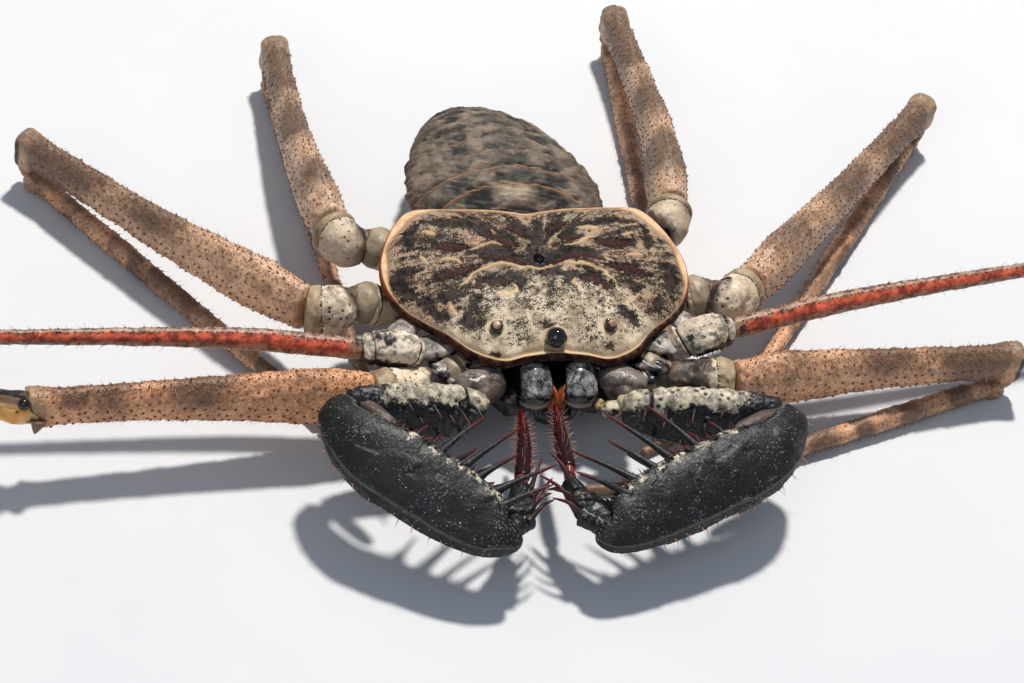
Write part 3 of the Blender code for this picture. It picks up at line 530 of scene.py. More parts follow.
def makeCarapace():
    # Outline scaled towards the middle by each share; height is the rim plane + dome·(1 - share³), with the
    # furrows, lumps and rim pressed into it. Below the rim its side has two ridges and the lower side is plain
    look = carapace
    edge, middle, below = outline(look["around"]), np.array(look["middle"]), np.array(look["below"])
    share = np.concatenate([np.linspace(0.004, 1, look["rings"]) ** 0.8, below[:, 0]])[:, None]
    drop = np.concatenate([np.zeros(look["rings"]), below[:, 1]])[:, None]
    flat = middle + (edge[None] - middle) * share[..., None]
    top = np.arange(len(share))[:, None] < look["rings"]
    sheet = np.concatenate([flat, 0 * flat[..., :1]], -1)
    bent = flat + 0.07 * np.stack([waves(sheet, 1.2, 3), waves(sheet, 1.2, 4)], -1)
    maroon, black, grey, cream = (strokes(bent, look[key], swell) for key, swell in look["swells"].items())
    x, y = flat[..., 0], flat[..., 1]
    toPit = flat - look["fovea"]
    round, angle = size(toPit), np.arctan2(toPit[..., 0], toPit[..., 1])
    rays, fan, fine = (waves(np.stack([turns * np.cos(angle), turns * np.sin(angle), reach * round], -1),
                             0.62, seed) for turns, reach, seed in look["rays"])
    lobes = np.maximum.reduce([hump(size((flat - lobe) / (0.3, 0.2)), 0, 1.0) for lobe in look["lobes"]])
    lumps, pits = cells(sheet, 0.5, 5), cells(sheet, 0.62, 12)
    rear = step(y + 2.5 * step(np.abs(x), 2.8, 5.6) + 0.4 + 0.25 * waves(sheet, 1.2, 8), -0.5, 0.5)
    fromRim = (1 - np.minimum(share, 1)) * size(edge - middle)[None]
    wide = (0.11 + 0.3 * step(y, 2.4, 3.8) * step(np.abs(x), 3.8, 5.6)
            + 0.2 * hump(y, 1.2, 0.9) * step(np.abs(x), 6, 7) + 0.12 * step(y, -3.2, -4.4))
    ink = (0.35 + 0.11 * rear + (0.12 * fine + 0.14 * rays + 0.15 * fan * step(y, 0.8, 2.0)) * rear
           + 0.07 * waves(sheet, 0.9, 7) + 0.13 * waves(sheet, 0.3, 14) + 0.75 * black + 0.26 * grey
           - 0.32 * cream * (1 - maroon) + 0.45 * maroon + 0.6 * hump(round, 0.3, 0.6) - 0.5 * lobes
           - 0.3 * hump(pits, 0.0, 0.34) * step(fromRim, 0.3, 0.5) + 0.13 * hump(y, -1.0, 0.9)
           - 0.3 * hump(fromRim, wide, 0.4) * (1 - black) * (1 - 0.5 * step(y, 3.5, 4.2)))
    height = (look["dome"] * (1 - np.minimum(share, 1) ** 3) - 0.1 * maroon - 0.03 * black + 0.05 * cream
              - 0.16 * hump(round, 0.0, 0.7) + 0.14 * lobes + 0.16 * hump(size(toPit / (0.2, 0.26)), 0, 0.9)
              + (0.018 * (1 - lumps) ** 2 + 0.012 * rays * rear + 0.012 * waves(sheet, 0.5, 9)
                 - 0.03 * step(pits, 0.16, 0.05)) * step(fromRim, 0.4, 1.0)
              - 0.1 * hump(fromRim, wide + 0.06, 0.1) + 0.07 * hump(fromRim, 0.06, 0.09))
    ring = 0.0
    for place, radius in look["eyeRings"]:
        away = size(flat - place) / radius
        ring = ring + hump(away, 1.3, 0.22)
        height = height + 0.06 * hump(away, 1.2, 0.3) - 0.1 * hump(away, 0.0, 0.8)
    z = rimHeight(x, y) + np.where(drop < 0, drop, height)
    broad = step(y, 0.4, -1.4)
    margin = broad * step(np.abs(x), 2.0, 3.2)
    shell = Piece("carapaceShell")
    shell.addGrid(np.concatenate([flat, z[..., None]], -1), ink=ink - 0.3 * ring, maroon=maroon,
                  cream=np.maximum(cream, ring * 0.8), pit=hump(size(toPit / (0.42, 0.5)), 0, 0.85),
                  front=1 - rear, rim=step(fromRim, wide + 0.1, wide - 0.02) * np.where(top, 1, 0.5),
                  groove=hump(fromRim, wide + 0.05, 0.05) * top, lobe=lobes, broad=broad,
                  edge=np.where(top, step(fromRim, 0.06 + 0.14 * margin, 0.03 + 0.06 * margin), 1.0),
                  dot=step(pits, 0.16, 0.08) * step(fromRim, 0.3, 0.5))
    beads = outline(250)
    beads = beads + unit(middle - beads) * 0.03
    front = step(beads[:, 1], 0.5, -1.0)
    shell.addBeads(np.column_stack([beads, rimHeight(*beads.T) - 0.05]),
                   np.column_stack([unit(beads - middle), np.full(len(beads), 0.25)]), 0.05 + 0.02 * front,
                   0.06, edge=1.0, rim=1.0, broad=front)
    shell.make(carapaceFinish, "carapace", "carapace")


def paintCarapace(wire):
    # Pigment grains as dense as the ink value lie on cream; maroon furrows, buff flange, orange-brown edge
    value, noise = wire.value, wire.noise
    grain = (noise(15000, 1) - 0.5) * 1.6 + (noise(5200, 2) - 0.5) * 0.8
    dark = wire.mottle(2300, 4, 0.4, 0.62, (24, 20, 19), (60, 49, 42), 0.7)
    furrow = wire.blend((value("maroon") + noise(1900) * 0.5).band(0.9, 1.4), (26, 18, 16), (62, 27, 24))
    buff = wire.blend((noise(1500) + grain * 0.2).band(0.42, 0.66), (224, 188, 148), (198, 158, 120))
    side = wire.mottle(2400, 3, 0.4, 0.6, (30, 19, 16), (84, 52, 38))
    base = (wire.blend("front", (168, 140, 116), (206, 190, 164))
            .coat(noise(900, 4).band(0.42, 0.6), (160, 142, 118))
            .coat((value("ink") + grain - value("front") * 0.09).band(0.12, 0.66), dark)
            .coat((value("cream") + grain * 1.1).band(0.4, 1.2) * 0.85, (206, 172, 126))
            .coat((value("maroon") + grain * 0.9).band(0.25, 0.85), furrow)
            .coat(value("lobe").band(0.35, 0.8), (118, 112, 84)).coat("dot", (64, 30, 22))
            .coat("rim", buff.coat("front", (206, 178, 138))).coat(value("groove") * 0.55, (138, 100, 66))
            .coat("edge", wire.blend("broad", (140, 72, 38), side))
            .coat(value("pit").band(0.35, 0.6), (9, 9, 9)))
    return wire.surface(base, 0.45 + noise(1500) * 0.2 - value("pit").band(0.3, 0.6) * 0.3,
                        wire.grains(6500) * 0.6 + noise(2600) * 0.5, 0.00003, 0.8)


# Eyes

eyes = {"middle": ((0.0, -4.15, 5.6), 0.5), "side": ((2.76, -3.45, 5.72), 0.31),
        # the lenses of a side group: x, y, radius and how pearly; the pearly colour is partly a painted
        # highlight
        "lenses": [(0.03, -0.07, 0.2, 1.0), (-0.15, 0.1, 0.12, 0.4), (-0.16, -0.12, 0.11, 0.4)]}


def dome(place, radius, rows=28, sides=40):
    # A ball of rings: radius·sin(angle) across and radius·cos(angle) along the upright axis
    angle, turn = np.linspace(0.02, np.pi - 0.02, rows)[:, None], turnsOf(sides)[None]
    side = unit(np.cross(up, (1.0, 0.1, 0.0)))
    return place + radius * (np.cos(angle)[..., None] * up + (np.sin(angle) * np.cos(turn))[..., None] * side
                             + (np.sin(angle) * np.sin(turn))[..., None] * np.cross(up, side))


def makeEyes():
    # The middle mound is one glossy dome with two lenses low on its sides; each side group is a dark base with
    # one large pearly dome and two small ones, their pearly colour partly their own and partly a painted
    # highlight
    place, radius = eyes["middle"]
    mound = Piece("middleEyes")
    mound.addGrid(dome(place, radius), pearl=0.0)
    for side in (-1, 1):
        mound.addGrid(dome(np.add(place, (0.2 * side, -0.1, 0.06)), 0.3), pearl=0.0)
    mound.make(eyeFinish, "eye", "eyes_middle")
    for name, sign, node in (("rightEyes", -1, "eyes_right"), ("leftEyes", 1, "eyes_left")):
        place, radius = eyes["side"][0] * np.array((sign, 1, 1)), eyes["side"][1]
        group = Piece(name)
        group.addGrid(dome(place - (0, 0, 0.06), radius), pearl=0.25)
        for x, y, lens, pearl in eyes["lenses"]:
            group.addGrid(dome(place + (x * sign, y, 0.13), lens, 16, 24), pearl=pearl)
        group.make(eyeFinish, "eye", node)


def paintEyes(wire):
    # Black dome in the middle, pearly lenses on dark brown at the sides, the pearl partly a painted highlight
    pearl = wire.value("pearl")
    tint = wire.mottle(2500, 2, 0.4, 0.7, (226, 186, 160), (150, 108, 86))
    # The pale lens colour is partly the lenses' own and partly a painted highlight
    base = wire.blend(pearl.band(0.0, 0.3), (5, 5, 6), (42, 24, 18)).coat(pearl.band(0.35, 1.0), tint)
    return {"Base Color": base, "Roughness": pearl * 0.1 + 0.05}


# Body under the carapace, with the coxae of all limbs

legJoints = {
    "leg2Right": [(-5.3, -4.4, 3.1), (-7.0, -4.85, 3.05), (-8.9, -5.3, 3.2), (-16.9, -5.85, 3.75),
                  (-25.0, -6.5, 4.1), (-42.5, 1.5, 1.55), (-51.0, 5.5, 0.25)],
    "leg3Right": [(-8.9, 0.4, 3.85), (-10.1, -0.25, 3.8), (-11.2, 0.0, 3.75), (-16.35, 5.35, 3.1),
                  (-22.6, 12.8, 2.3), (-10.5, -4.3, 0.62), (-7.4, -8.9, 0.25)],
    "leg4Right": [(-7.6, 4.5, 3.75), (-8.65, 4.4, 3.8), (-9.1, 5.5, 3.8), (-9.65, 11.8, 3.1),
                  (-9.6, 19.6, 2.3), (-8.5, 2.6, 0.62), (-7.9, -2.6, 0.25)],
    "leg2Left": [(5.5, -4.3, 3.05), (7.15, -4.6, 3.0), (9.0, -4.85, 3.05), (16.05, -3.95, 2.8),
                 (23.4, -3.05, 2.3), (7.3, -8.7, 0.62), (1.3, -9.0, 0.25)],
    "leg3Left": [(8.8, 0.5, 3.85), (9.65, -0.05, 3.8), (10.9, 0.95, 3.7), (16.25, 6.85, 3.1),
                 (23.3, 14.9, 2.3), (10.2, -3.5, 0.62), (4.6, -6.7, 0.25)],
    "leg4Left": [(6.8, 4.6, 3.75), (7.6, 5.3, 3.8), (8.05, 6.5, 3.8), (8.8, 13.0, 3.1),
                 (8.6, 21.9, 2.3), (7.5, 2.8, 0.62), (7.1, -2.6, 0.25)],
}
whipJoints = {
    "whipRight": [(-6.1, -3.45, 4.05), (-9.25, -3.65, 4.6), (-16.7, -3.1, 5.0), (-34.0, -3.0, 5.35),
                  (-44.0, 23.0, 8.2), (-36.0, 45.0, 6.2), (-19.0, 56.0, 3.0)],
    "whipLeft": [(6.1, -3.3, 4.05), (9.2, -2.75, 4.6), (16.6, -1.25, 5.2), (33.5, 1.9, 5.35),
                 (45.0, 26.0, 8.2), (38.0, 47.0, 6.2), (21.0, 58.0, 3.0)],
}
armJoints = {
    "armRight": {
        "trochanter": [(-3.3, -4.6, 3.3), (-3.2, -5.2, 3.55), (-3.1, -5.85, 3.65)],
        "femur": [(-3.7, -6.9, 3.85), (-6.6, -7.1, 4.3), (-9.6, -7.4, 4.8)],
        "patella": [(-10.25, -7.5, 4.95), (-11.05, -8.45, 5.1), (-10.0, -10.6, 5.0), (-7.8, -12.35, 4.5),
                    (-5.6, -13.9, 3.9), (-4.2, -14.75, 3.6), (-3.45, -14.5, 3.65)],
        "tibia": [(-2.95, -14.25, 3.6), (-2.75, -13.5, 3.5), (-2.65, -12.6, 3.45), (-2.7, -11.7, 3.45)],
        "tarsus": [(-2.65, -11.3, 3.5), (-2.1, -8.9, 3.35), (-1.75, -6.4, 3.1)],
    },
    "armLeft": {
        "trochanter": [(3.35, -4.6, 3.3), (3.25, -5.25, 3.5), (3.1, -5.9, 3.6)],
        "femur": [(2.95, -7.0, 3.75), (6.05, -7.4, 3.95), (9.4, -7.95, 4.2)],
        "patella": [(10.05, -8.1, 4.35), (10.55, -9.1, 4.55), (9.0, -11.0, 4.5), (5.75, -12.45, 4.1),
                    (2.7, -13.8, 3.65), (1.1, -14.6, 3.45), (0.35, -14.3, 3.5)],
        "tibia": [(-0.2, -14.0, 3.45), (-0.3, -13.2, 3.4), (-0.35, -12.2, 3.4), (-0.35, -11.2, 3.45)],
        "tarsus": [(-0.35, -10.8, 3.55), (-0.25, -8.4, 3.35), (0.0, -6.1, 3.1)],
    },
}
coxa = {"root": 0.35, "rows": 110, "sides": 60, "legWidths": [0.8, 0.8, 0.72, 0.6, 0.82, 1.04, 0.98],
        "legDepths": [0.8, 0.8, 0.72, 0.6, 0.82, 1.02, 0.98], "knob": 0.75,
        # lines of black tubes under the jaws: partly the arms' dark coxae, partly dark filler for the shade
        # there
        "front": [[(-0.7, -2.4, 2.7), (-1.2, -4.2, 2.65), (-2.5, -5.7, 2.6)],
                  [(1.0, -2.4, 2.7), (1.5, -4.2, 2.65), (2.6, -5.7, 2.6)],
                  [(0.2, -2.4, 2.5), (0.2, -4.4, 2.25), (0.15, -6.0, 1.85)]],
        "levels": [(0.2, 2.15), (0.45, 2.2), (0.62, 2.5), (0.7, 3.2), (0.74, 4.2)],
        # roots of the whips and arms: half widths, half depths, sides, seed and values
        # the whip roots are half in painted shade under the shield
        "roots": {"whip": ([0.46] * 3, [0.38] * 3, 40, 22, {"deep": 0.5}),
                  "arm": ([0.72, 0.77, 0.72], [0.52, 0.57, 0.57], 44, 23, {"glass": 1.0})},
        # plates of the skin beside the shield: middle, length, width, turn in degrees, how dark
        "plates": [((-5.55, -3.15, 4.15), 0.9, 0.62, 14, 0.12), ((-4.8, -3.9, 3.75), 1.0, 0.6, 25, 0.7),
                   ((-6.8, -2.1, 4.3), 0.95, 0.5, 42, 0.05), ((-4.2, -4.5, 3.45), 0.9, 0.6, 10, 0.85),
                   ((5.55, -3.15, 4.15), 0.85, 0.64, -14, 0.12), ((4.8, -4.0, 3.75), 1.0, 0.6, -20, 0.75),
                   ((6.9, -1.95, 4.3), 0.95, 0.5, -47, 0.05), ((4.25, -4.5, 3.45), 0.9, 0.6, -10, 0.85)]}


def coxaRoot(tip):
    # The point inside the body where a coxa starts: nearer the middle and a little lower
    middle = carapace["middle"][1]
    return np.array([tip[0] * coxa["root"], middle + (tip[1] - middle) * (coxa["root"] + 0.2), 3.15])


def hipFace(joints):
    # Direction halfway between the coxa's and the trochanter's
    tip = np.array(joints[0])
    return unit(unit(tip - coxaRoot(tip)) + unit(np.array(joints[1]) - tip))


def collar(start, stop, width, depth):
    # A soft joint: a short tube, drawn in at the middle, whose radius waves a little along its length
    tube = carry([start, np.add(start, stop) / 2, stop], [width] * 3, [depth] * 3, 26, 40, ends=(0, 0))
    return tube.lift(0.025 * width * np.cos(tube.share * 3 * fullTurn) - 0.1 * width * tube.at(0.5, 0.3))


def plate(middle, length, width, turn, thick):
    # A small cushion: a flattened dome, length along the turn and width across it
    grid = dome((0, 0, 0), 1.0, 20, 36)
    wide = np.sign(grid[..., :2]) * np.abs(grid[..., :2]) ** 0.8 * (length, width)
    c, s = np.cos(np.radians(turn)), np.sin(np.radians(turn))
    return middle + np.stack([wide[..., 0] * c - wide[..., 1] * s, wide[..., 0] * s + wide[..., 1] * c,
                              grid[..., 2] * thick], -1)


def makeBody():
    # The sternum block, scaled outlines one above the other, and a coxa out to each limb that ends in a knob
    look, edge, middle = coxa, outline(200), np.array(carapace["middle"])
    levels = smoothLine(look["levels"], 50)
    flat = middle + (edge[None] - middle) * levels[:, :1, None]
    ceiling = rimHeight(flat[..., 0], flat[..., 1]) - carapace["thickness"] - 0.02
    z = levels[:, 1:] + (ceiling - levels[:, 1:]) * step(levels[:, 1:], 3.2, 4.2)
    block = np.concatenate([flat, z[..., None]], -1)
    body = Piece("bodySkin")
    # Painted shade: the block's upper part, in under the shield, is marked dark
    body.addGrid(block + 0.04 * waves(block, 0.8, 20)[..., None] * unit(block - (0, 0.4, 3.4)),
                 deep=step(block[..., 2], 2.6, 3.2))
    for joints in legJoints.values():
        tip, root = np.array(joints[0]), coxaRoot(joints[0])
        tube = carry([root, root + (tip - root) * (0.68, 0.68, 0.3), tip], look["legWidths"], look["legDepths"],
                     look["rows"], look["sides"], ends=(0, look["knob"]))
        broken = step(tube.soft(0.5, 24), -0.9, -0.3)
        tube.lift(0.02 * tube.soft(0.7, 21) - 0.05 * hump(tube.left, 1.3, 0.05) * broken
                  - 0.04 * hump(tube.left, 1.0, 0.06))
        # Painted shade: the inner part of each coxa, in under the shield, is marked dark
        body.addTube(tube, olive=step(tube.left, 1.05, 0.9), deep=step(tube.left, 2.1, 2.5),
                     rim=hump(tube.left, 1.3, 0.045) * broken)
    roots = [(coxaRoot(joints[0]), joints[0], "whip") for joints in whipJoints.values()]
    roots += [(np.add(joints["trochanter"][0], (0, 2.2, -0.15)), joints["trochanter"][0], "arm")
              for joints in armJoints.values()]
    for root, tip, kind in roots:
        widths, depths, sides, seed, values = look["roots"][kind]
        tube = carry([root, np.add(root, tip) / 2, tip], widths, depths, 60, sides)
        body.addTube(tube.lift(0.03 * tube.soft(0.6, seed)), **values)
    # Black tubes under the jaws: partly the arms' dark coxae, partly dark filler that stands in for the shade
    # between jaws and hands
    for line in look["front"]:
        tube = carry(line, [0.9, 1.15, 0.85], [0.8, 0.85, 0.55], 60, 50, ends=(0.2, 0.4))
        body.addTube(tube.lift(0.05 * tube.soft(0.6, 25) - 0.08 * tube.at(0.62, 0.03)), black=1.0)
    for place, length, width, turn, dark in look["plates"]:
        cushion = plate(place, length * 1.15, width * 1.2, turn, 0.26)
        cushion = cushion + 0.03 * waves(cushion, 0.4, 26)[..., None] * up
        body.addGrid(cushion, glass=1.0, black=step(waves(cushion, 0.7, 27) + 2.4 * dark, 1.0, 1.6))
    body.make(hipFinish, "underside", "underside")


def paintHips(wire):
    # Cream with dark blotches, olive and glassy on the knobs, and a painted brown-black shade under the shield
    blotch = (wire.noise(620, 5, 0.65) + wire.grains(3600) * 0.16).band(0.58, 0.7)
    base = (wire.mottle(900, 4, 0.38, 0.66, (206, 184, 150), (164, 142, 112)).coat(blotch * 0.8, (44, 38, 32))
            .coat("olive", wire.mottle(1100, 4, 0.35, 0.65, (164, 146, 120), (126, 112, 92)))
            .coat("glass", wire.mottle(1300, 4, 0.4, 0.62, (162, 150, 140), (86, 76, 70)))
            .coat(wire.value("rim").band(0.25, 0.8), (30, 23, 18))
            # painted shade: brown-black where the parts go in under the shield
            .coat("deep", wire.mottle(800, 3, 0.4, 0.65, (22, 17, 15), (56, 42, 32)))
            .coat("black", wire.mottle(900, 4, 0.5, 0.7, (10, 9, 9), (46, 32, 26))))
    return wire.surface(base, 0.3 + wire.noise(1300) * 0.3 - wire.value("black") * 0.15,
                        wire.noise(2600, 4) + wire.grains(3300) * 0.4, 0.00004, 0.7)


# Abdomen

abdomen = {
    "front": 4.8, "length": 10.1, "lean": -0.075, "plates": 9, "step": 0.22, "rows": 260, "sides": 190,
    "stalk": [(0, 3.2, 3.75), (0, 4.1, 3.75), (0, 5.4, 3.85)],
    # share of the length, half width, height of the back and of the belly
    "profile": [(0.0, 3.6, 5.1, 2.9), (0.1, 4.4, 5.5, 2.5), (0.25, 4.75, 5.8, 2.3), (0.42, 4.4, 5.8, 2.2),
                (0.57, 3.8, 5.5, 2.2), (0.72, 3.15, 4.95, 2.2), (0.86, 2.3, 4.1, 2.2), (0.95, 1.5, 3.4, 2.2),
                (1.0, 0.6, 2.95, 2.35)],
}


def makeAbdomen():
    # Ellipses along the body from a smooth profile; on the back each plate rises to its rear margin and drops
    # to the next one, with a pair of dents in each plate and folds that run across
    look = abdomen
    profile = smoothLine(look["profile"], 200)
    share, turn = np.linspace(0, 1, look["rows"])[:, None], turnsOf(look["sides"])[None]
    wide, high = np.cos(turn), np.sin(turn)
    halfWidth, back, belly = (np.interp(share, profile[:, 0], profile[:, k]) for k in (1, 2, 3))
    middle = belly + 0.42 * (back - belly)
    y = look["front"] + look["length"] * share + 0 * turn
    bowed = share + 0.09 * wide ** 2 - 0.03
    plate = np.clip(bowed / 0.96, 0, 1) ** (1 / 0.93) * look["plates"]
    within = plate - np.floor(np.minimum(plate, look["plates"] - 0.001))
    above = step(high, -0.3, 0.05)
    proud = (step(within, 0.0, 0.3) * 0.5 + 0.5 * within ** 2) * step(within, 1.0, 0.93) * above
    around = np.stack([halfWidth * wide, y, middle + (back - middle) * high], -1)
    apart = np.abs(around[..., 0])
    dent = (hump(apart + 0.35 * waves(around, 1.5, 35), 0.5 * halfWidth, 0.45) * hump(within, 0.42, 0.3)
            * step(high, 0.2, 0.5))
    fold = waves(around * (0.6, 1.4, 0.6), 0.5, 32)
    out = (look["step"] * proud + (0.045 * fold + 0.05 * waves(around, 1.2, 33)
                                   + 0.015 * waves(around, 0.28, 34) - 0.12 * dent)
           * above * step(share, 0.0, 0.02) - 0.05)
    rise = np.where(high > 0, back - middle, middle - belly) + out
    x = (halfWidth + 0.8 * out) * wide + look["lean"] * (y - look["front"])
    skin = Piece("abdomenSkin")
    skin.addGrid(np.stack([x, y, middle + rise * high], -1), dent=dent, valley=step(within, 0.14, 0.0) * above,
                 margin=hump(within, 0.93, 0.07) * above * (0.4 + 0.6 * step(plate, 3.5, 1.0)),
                 fold=0.5 + 0.5 * fold,
                 pale=hump(plate, 0.75, 0.45) * hump(apart, 0.0, 0.95) * step(high, 0, 0.3),
                 patch=hump(plate, 0.8, 0.4) * hump(apart, 1.6, 0.6) * above,
                 spine=hump(around[..., 0] + 0.3 * waves(around, 0.9, 36), 0.0, 0.9) * hump(within, 0.35, 0.3)
                 * above * step(plate, 1.0, 1.3))
    skin.addTube(carry(look["stalk"], [1.2, 1.25, 1.6], [0.75, 0.75, 1.0], 40, 60, ends=(0, 0)), fold=0.5)
    skin.make(abdomenFinish, "abdomen", "abdomen")


def paintAbdomen(wire):
    # Beige-grey with green-black blotches in the dents and along the middle, orange-brown plate margins
    value = wire.value
    blotch = (wire.noise(420, 4, 0.6, 0.4) + value("dent") * 0.34 + value("spine") * 0.22 + value("patch") * 0.4
              - value("fold") * 0.1)
    base = (wire.mottle(900, 4, 0.36, 0.66, (130, 112, 96), (84, 76, 66))
            .coat(blotch.band(0.4, 0.68), (44, 42, 36))
            .coat(value("pale").band(0.3, 0.8) * 0.8, (166, 148, 126))
            .coat(value("margin").band(0.25, 0.8) * 0.85, (146, 98, 64)).coat("valley", (30, 26, 22)))
    return wire.surface(base, 0.5 + wire.noise(1300) * 0.2, wire.noise(2200, 4) + wire.grains(2800) * 0.6,
                        0.00006, 0.8)


# Walking legs

leg = {
    "femurDepths": [1.15, 1.48, 1.4, 1.22, 1.1, 1.02, 0.96, 0.98],
    "femurWidths": [0.85, 1.0, 0.86, 0.78, 0.72, 0.68, 0.66, 0.68],
    "kneeInset": 0.6, "kneeReach": 0.66, "shinInset": 0.45, "tibiaHeight": 0.64, "rows": 240, "sides": 84,
    "trochanterWidths": [0.7, 1.0, 1.12, 1.08, 1.12, 0.98],
    "trochanterDepths": [0.74, 1.06, 1.2, 1.18, 1.26, 1.12],
    "bumpSpacing": 0.5, "bumpWidth": 0.085, "bumpHeight": 0.07, "ring": 0.7, "bowl": ("leg2Left",), "far": 0.3,
    "warm": {"leg2Right": 1.0, "leg2Left": 0.7, "leg3Right": 0.4, "leg3Left": 0.3, "leg4Right": 0.1,
             "leg4Left": 0.15},
    # how strong the first dark zone is on each thigh
    "near": {"leg2Right": 0.3, "leg2Left": 0.6, "leg3Right": 0.0, "leg3Left": 0.9, "leg4Right": 1.0,
             "leg4Left": 2.0},
    "condyle": (-25.3, -7.0, 4.8), "spur": (-24.6, -7.25, 4.0),
    # how dusky the thigh is towards its elbow, and how far the black edge reaches in
    "dusk": {"leg2Left": 0.5, "leg3Right": 0.5, "leg3Left": 0.3, "leg4Right": 0.1, "leg4Left": 0.2},
    "edge": {"leg2Left": 0.55, "leg3Right": 0.55, "leg3Left": 0.4},
    # dark zones of the thigh: place, half length and strength
    "zones": [(0.2, 0.09, 0.6), (0.5, 0.1, 0.8), (0.76, 0.08, 0.6)],
}


def gather(coat, tube, places, lengths, widths, lean, seed, patch, tone):
    # Hairs rooted at places given as runs and turns, leaning towards the tip of the limb, each a small patch of
    # the coat's map at its root's own run and turn. Hairs that would leave the solids' box are left out
    draw, (runs, turns) = np.random.default_rng(seed), places
    roots, outs, along = tube.pick(runs, turns)
    count = len(roots)
    ways = unit(outs + along * (lean + draw.uniform(-0.25, 0.25, (count, 1)))
                + draw.normal(0, 0.16, (count, 3)))
    lengths = lengths * draw.uniform(0.7, 1.25, count)
    bends = along * (lengths * draw.uniform(-0.05, 0.3, count))[:, None]
    u = patch[0] + 0.9 * patch[2] * np.clip(runs / tube.length, 0, 1)
    v = patch[1] + 0.9 * patch[3] * np.mod(turns / fullTurn, 1)
    tips = roots + ways * lengths[:, None] + bends
    keep = np.all((tips > room[0]) & (tips < room[1]), axis=1)
    coat.addSpikes((roots - 0.02 * outs)[keep], ways[keep], lengths[keep], widths, bends[keep], u=u[keep],
                   v=v[keep], tone=tone)


def addRow(skin, tube, spacing, turns, seed, width, height, **values):
    # Rows of beads on a limb; a value given as a pair is drawn between its two ends for each bead
    draw = np.random.default_rng(seed)
    roots, outs, along = tube.pick(*tube.rows(spacing, turns, seed))
    count = len(roots)
    values = {key: draw.uniform(*value, count) if isinstance(value, tuple) else value
              for key, value in values.items()}
    skin.addBeads(roots, outs + 0.25 * along, width * draw.uniform(0.7, 1.2, count), height, 5, **values)


def nodesOf(name, split, *parts):
    # The solids of a limb's parts: its kind, its side and the part
    return [f"{name[:split]}_{name[split:].lower()}_{part}" for part in parts]


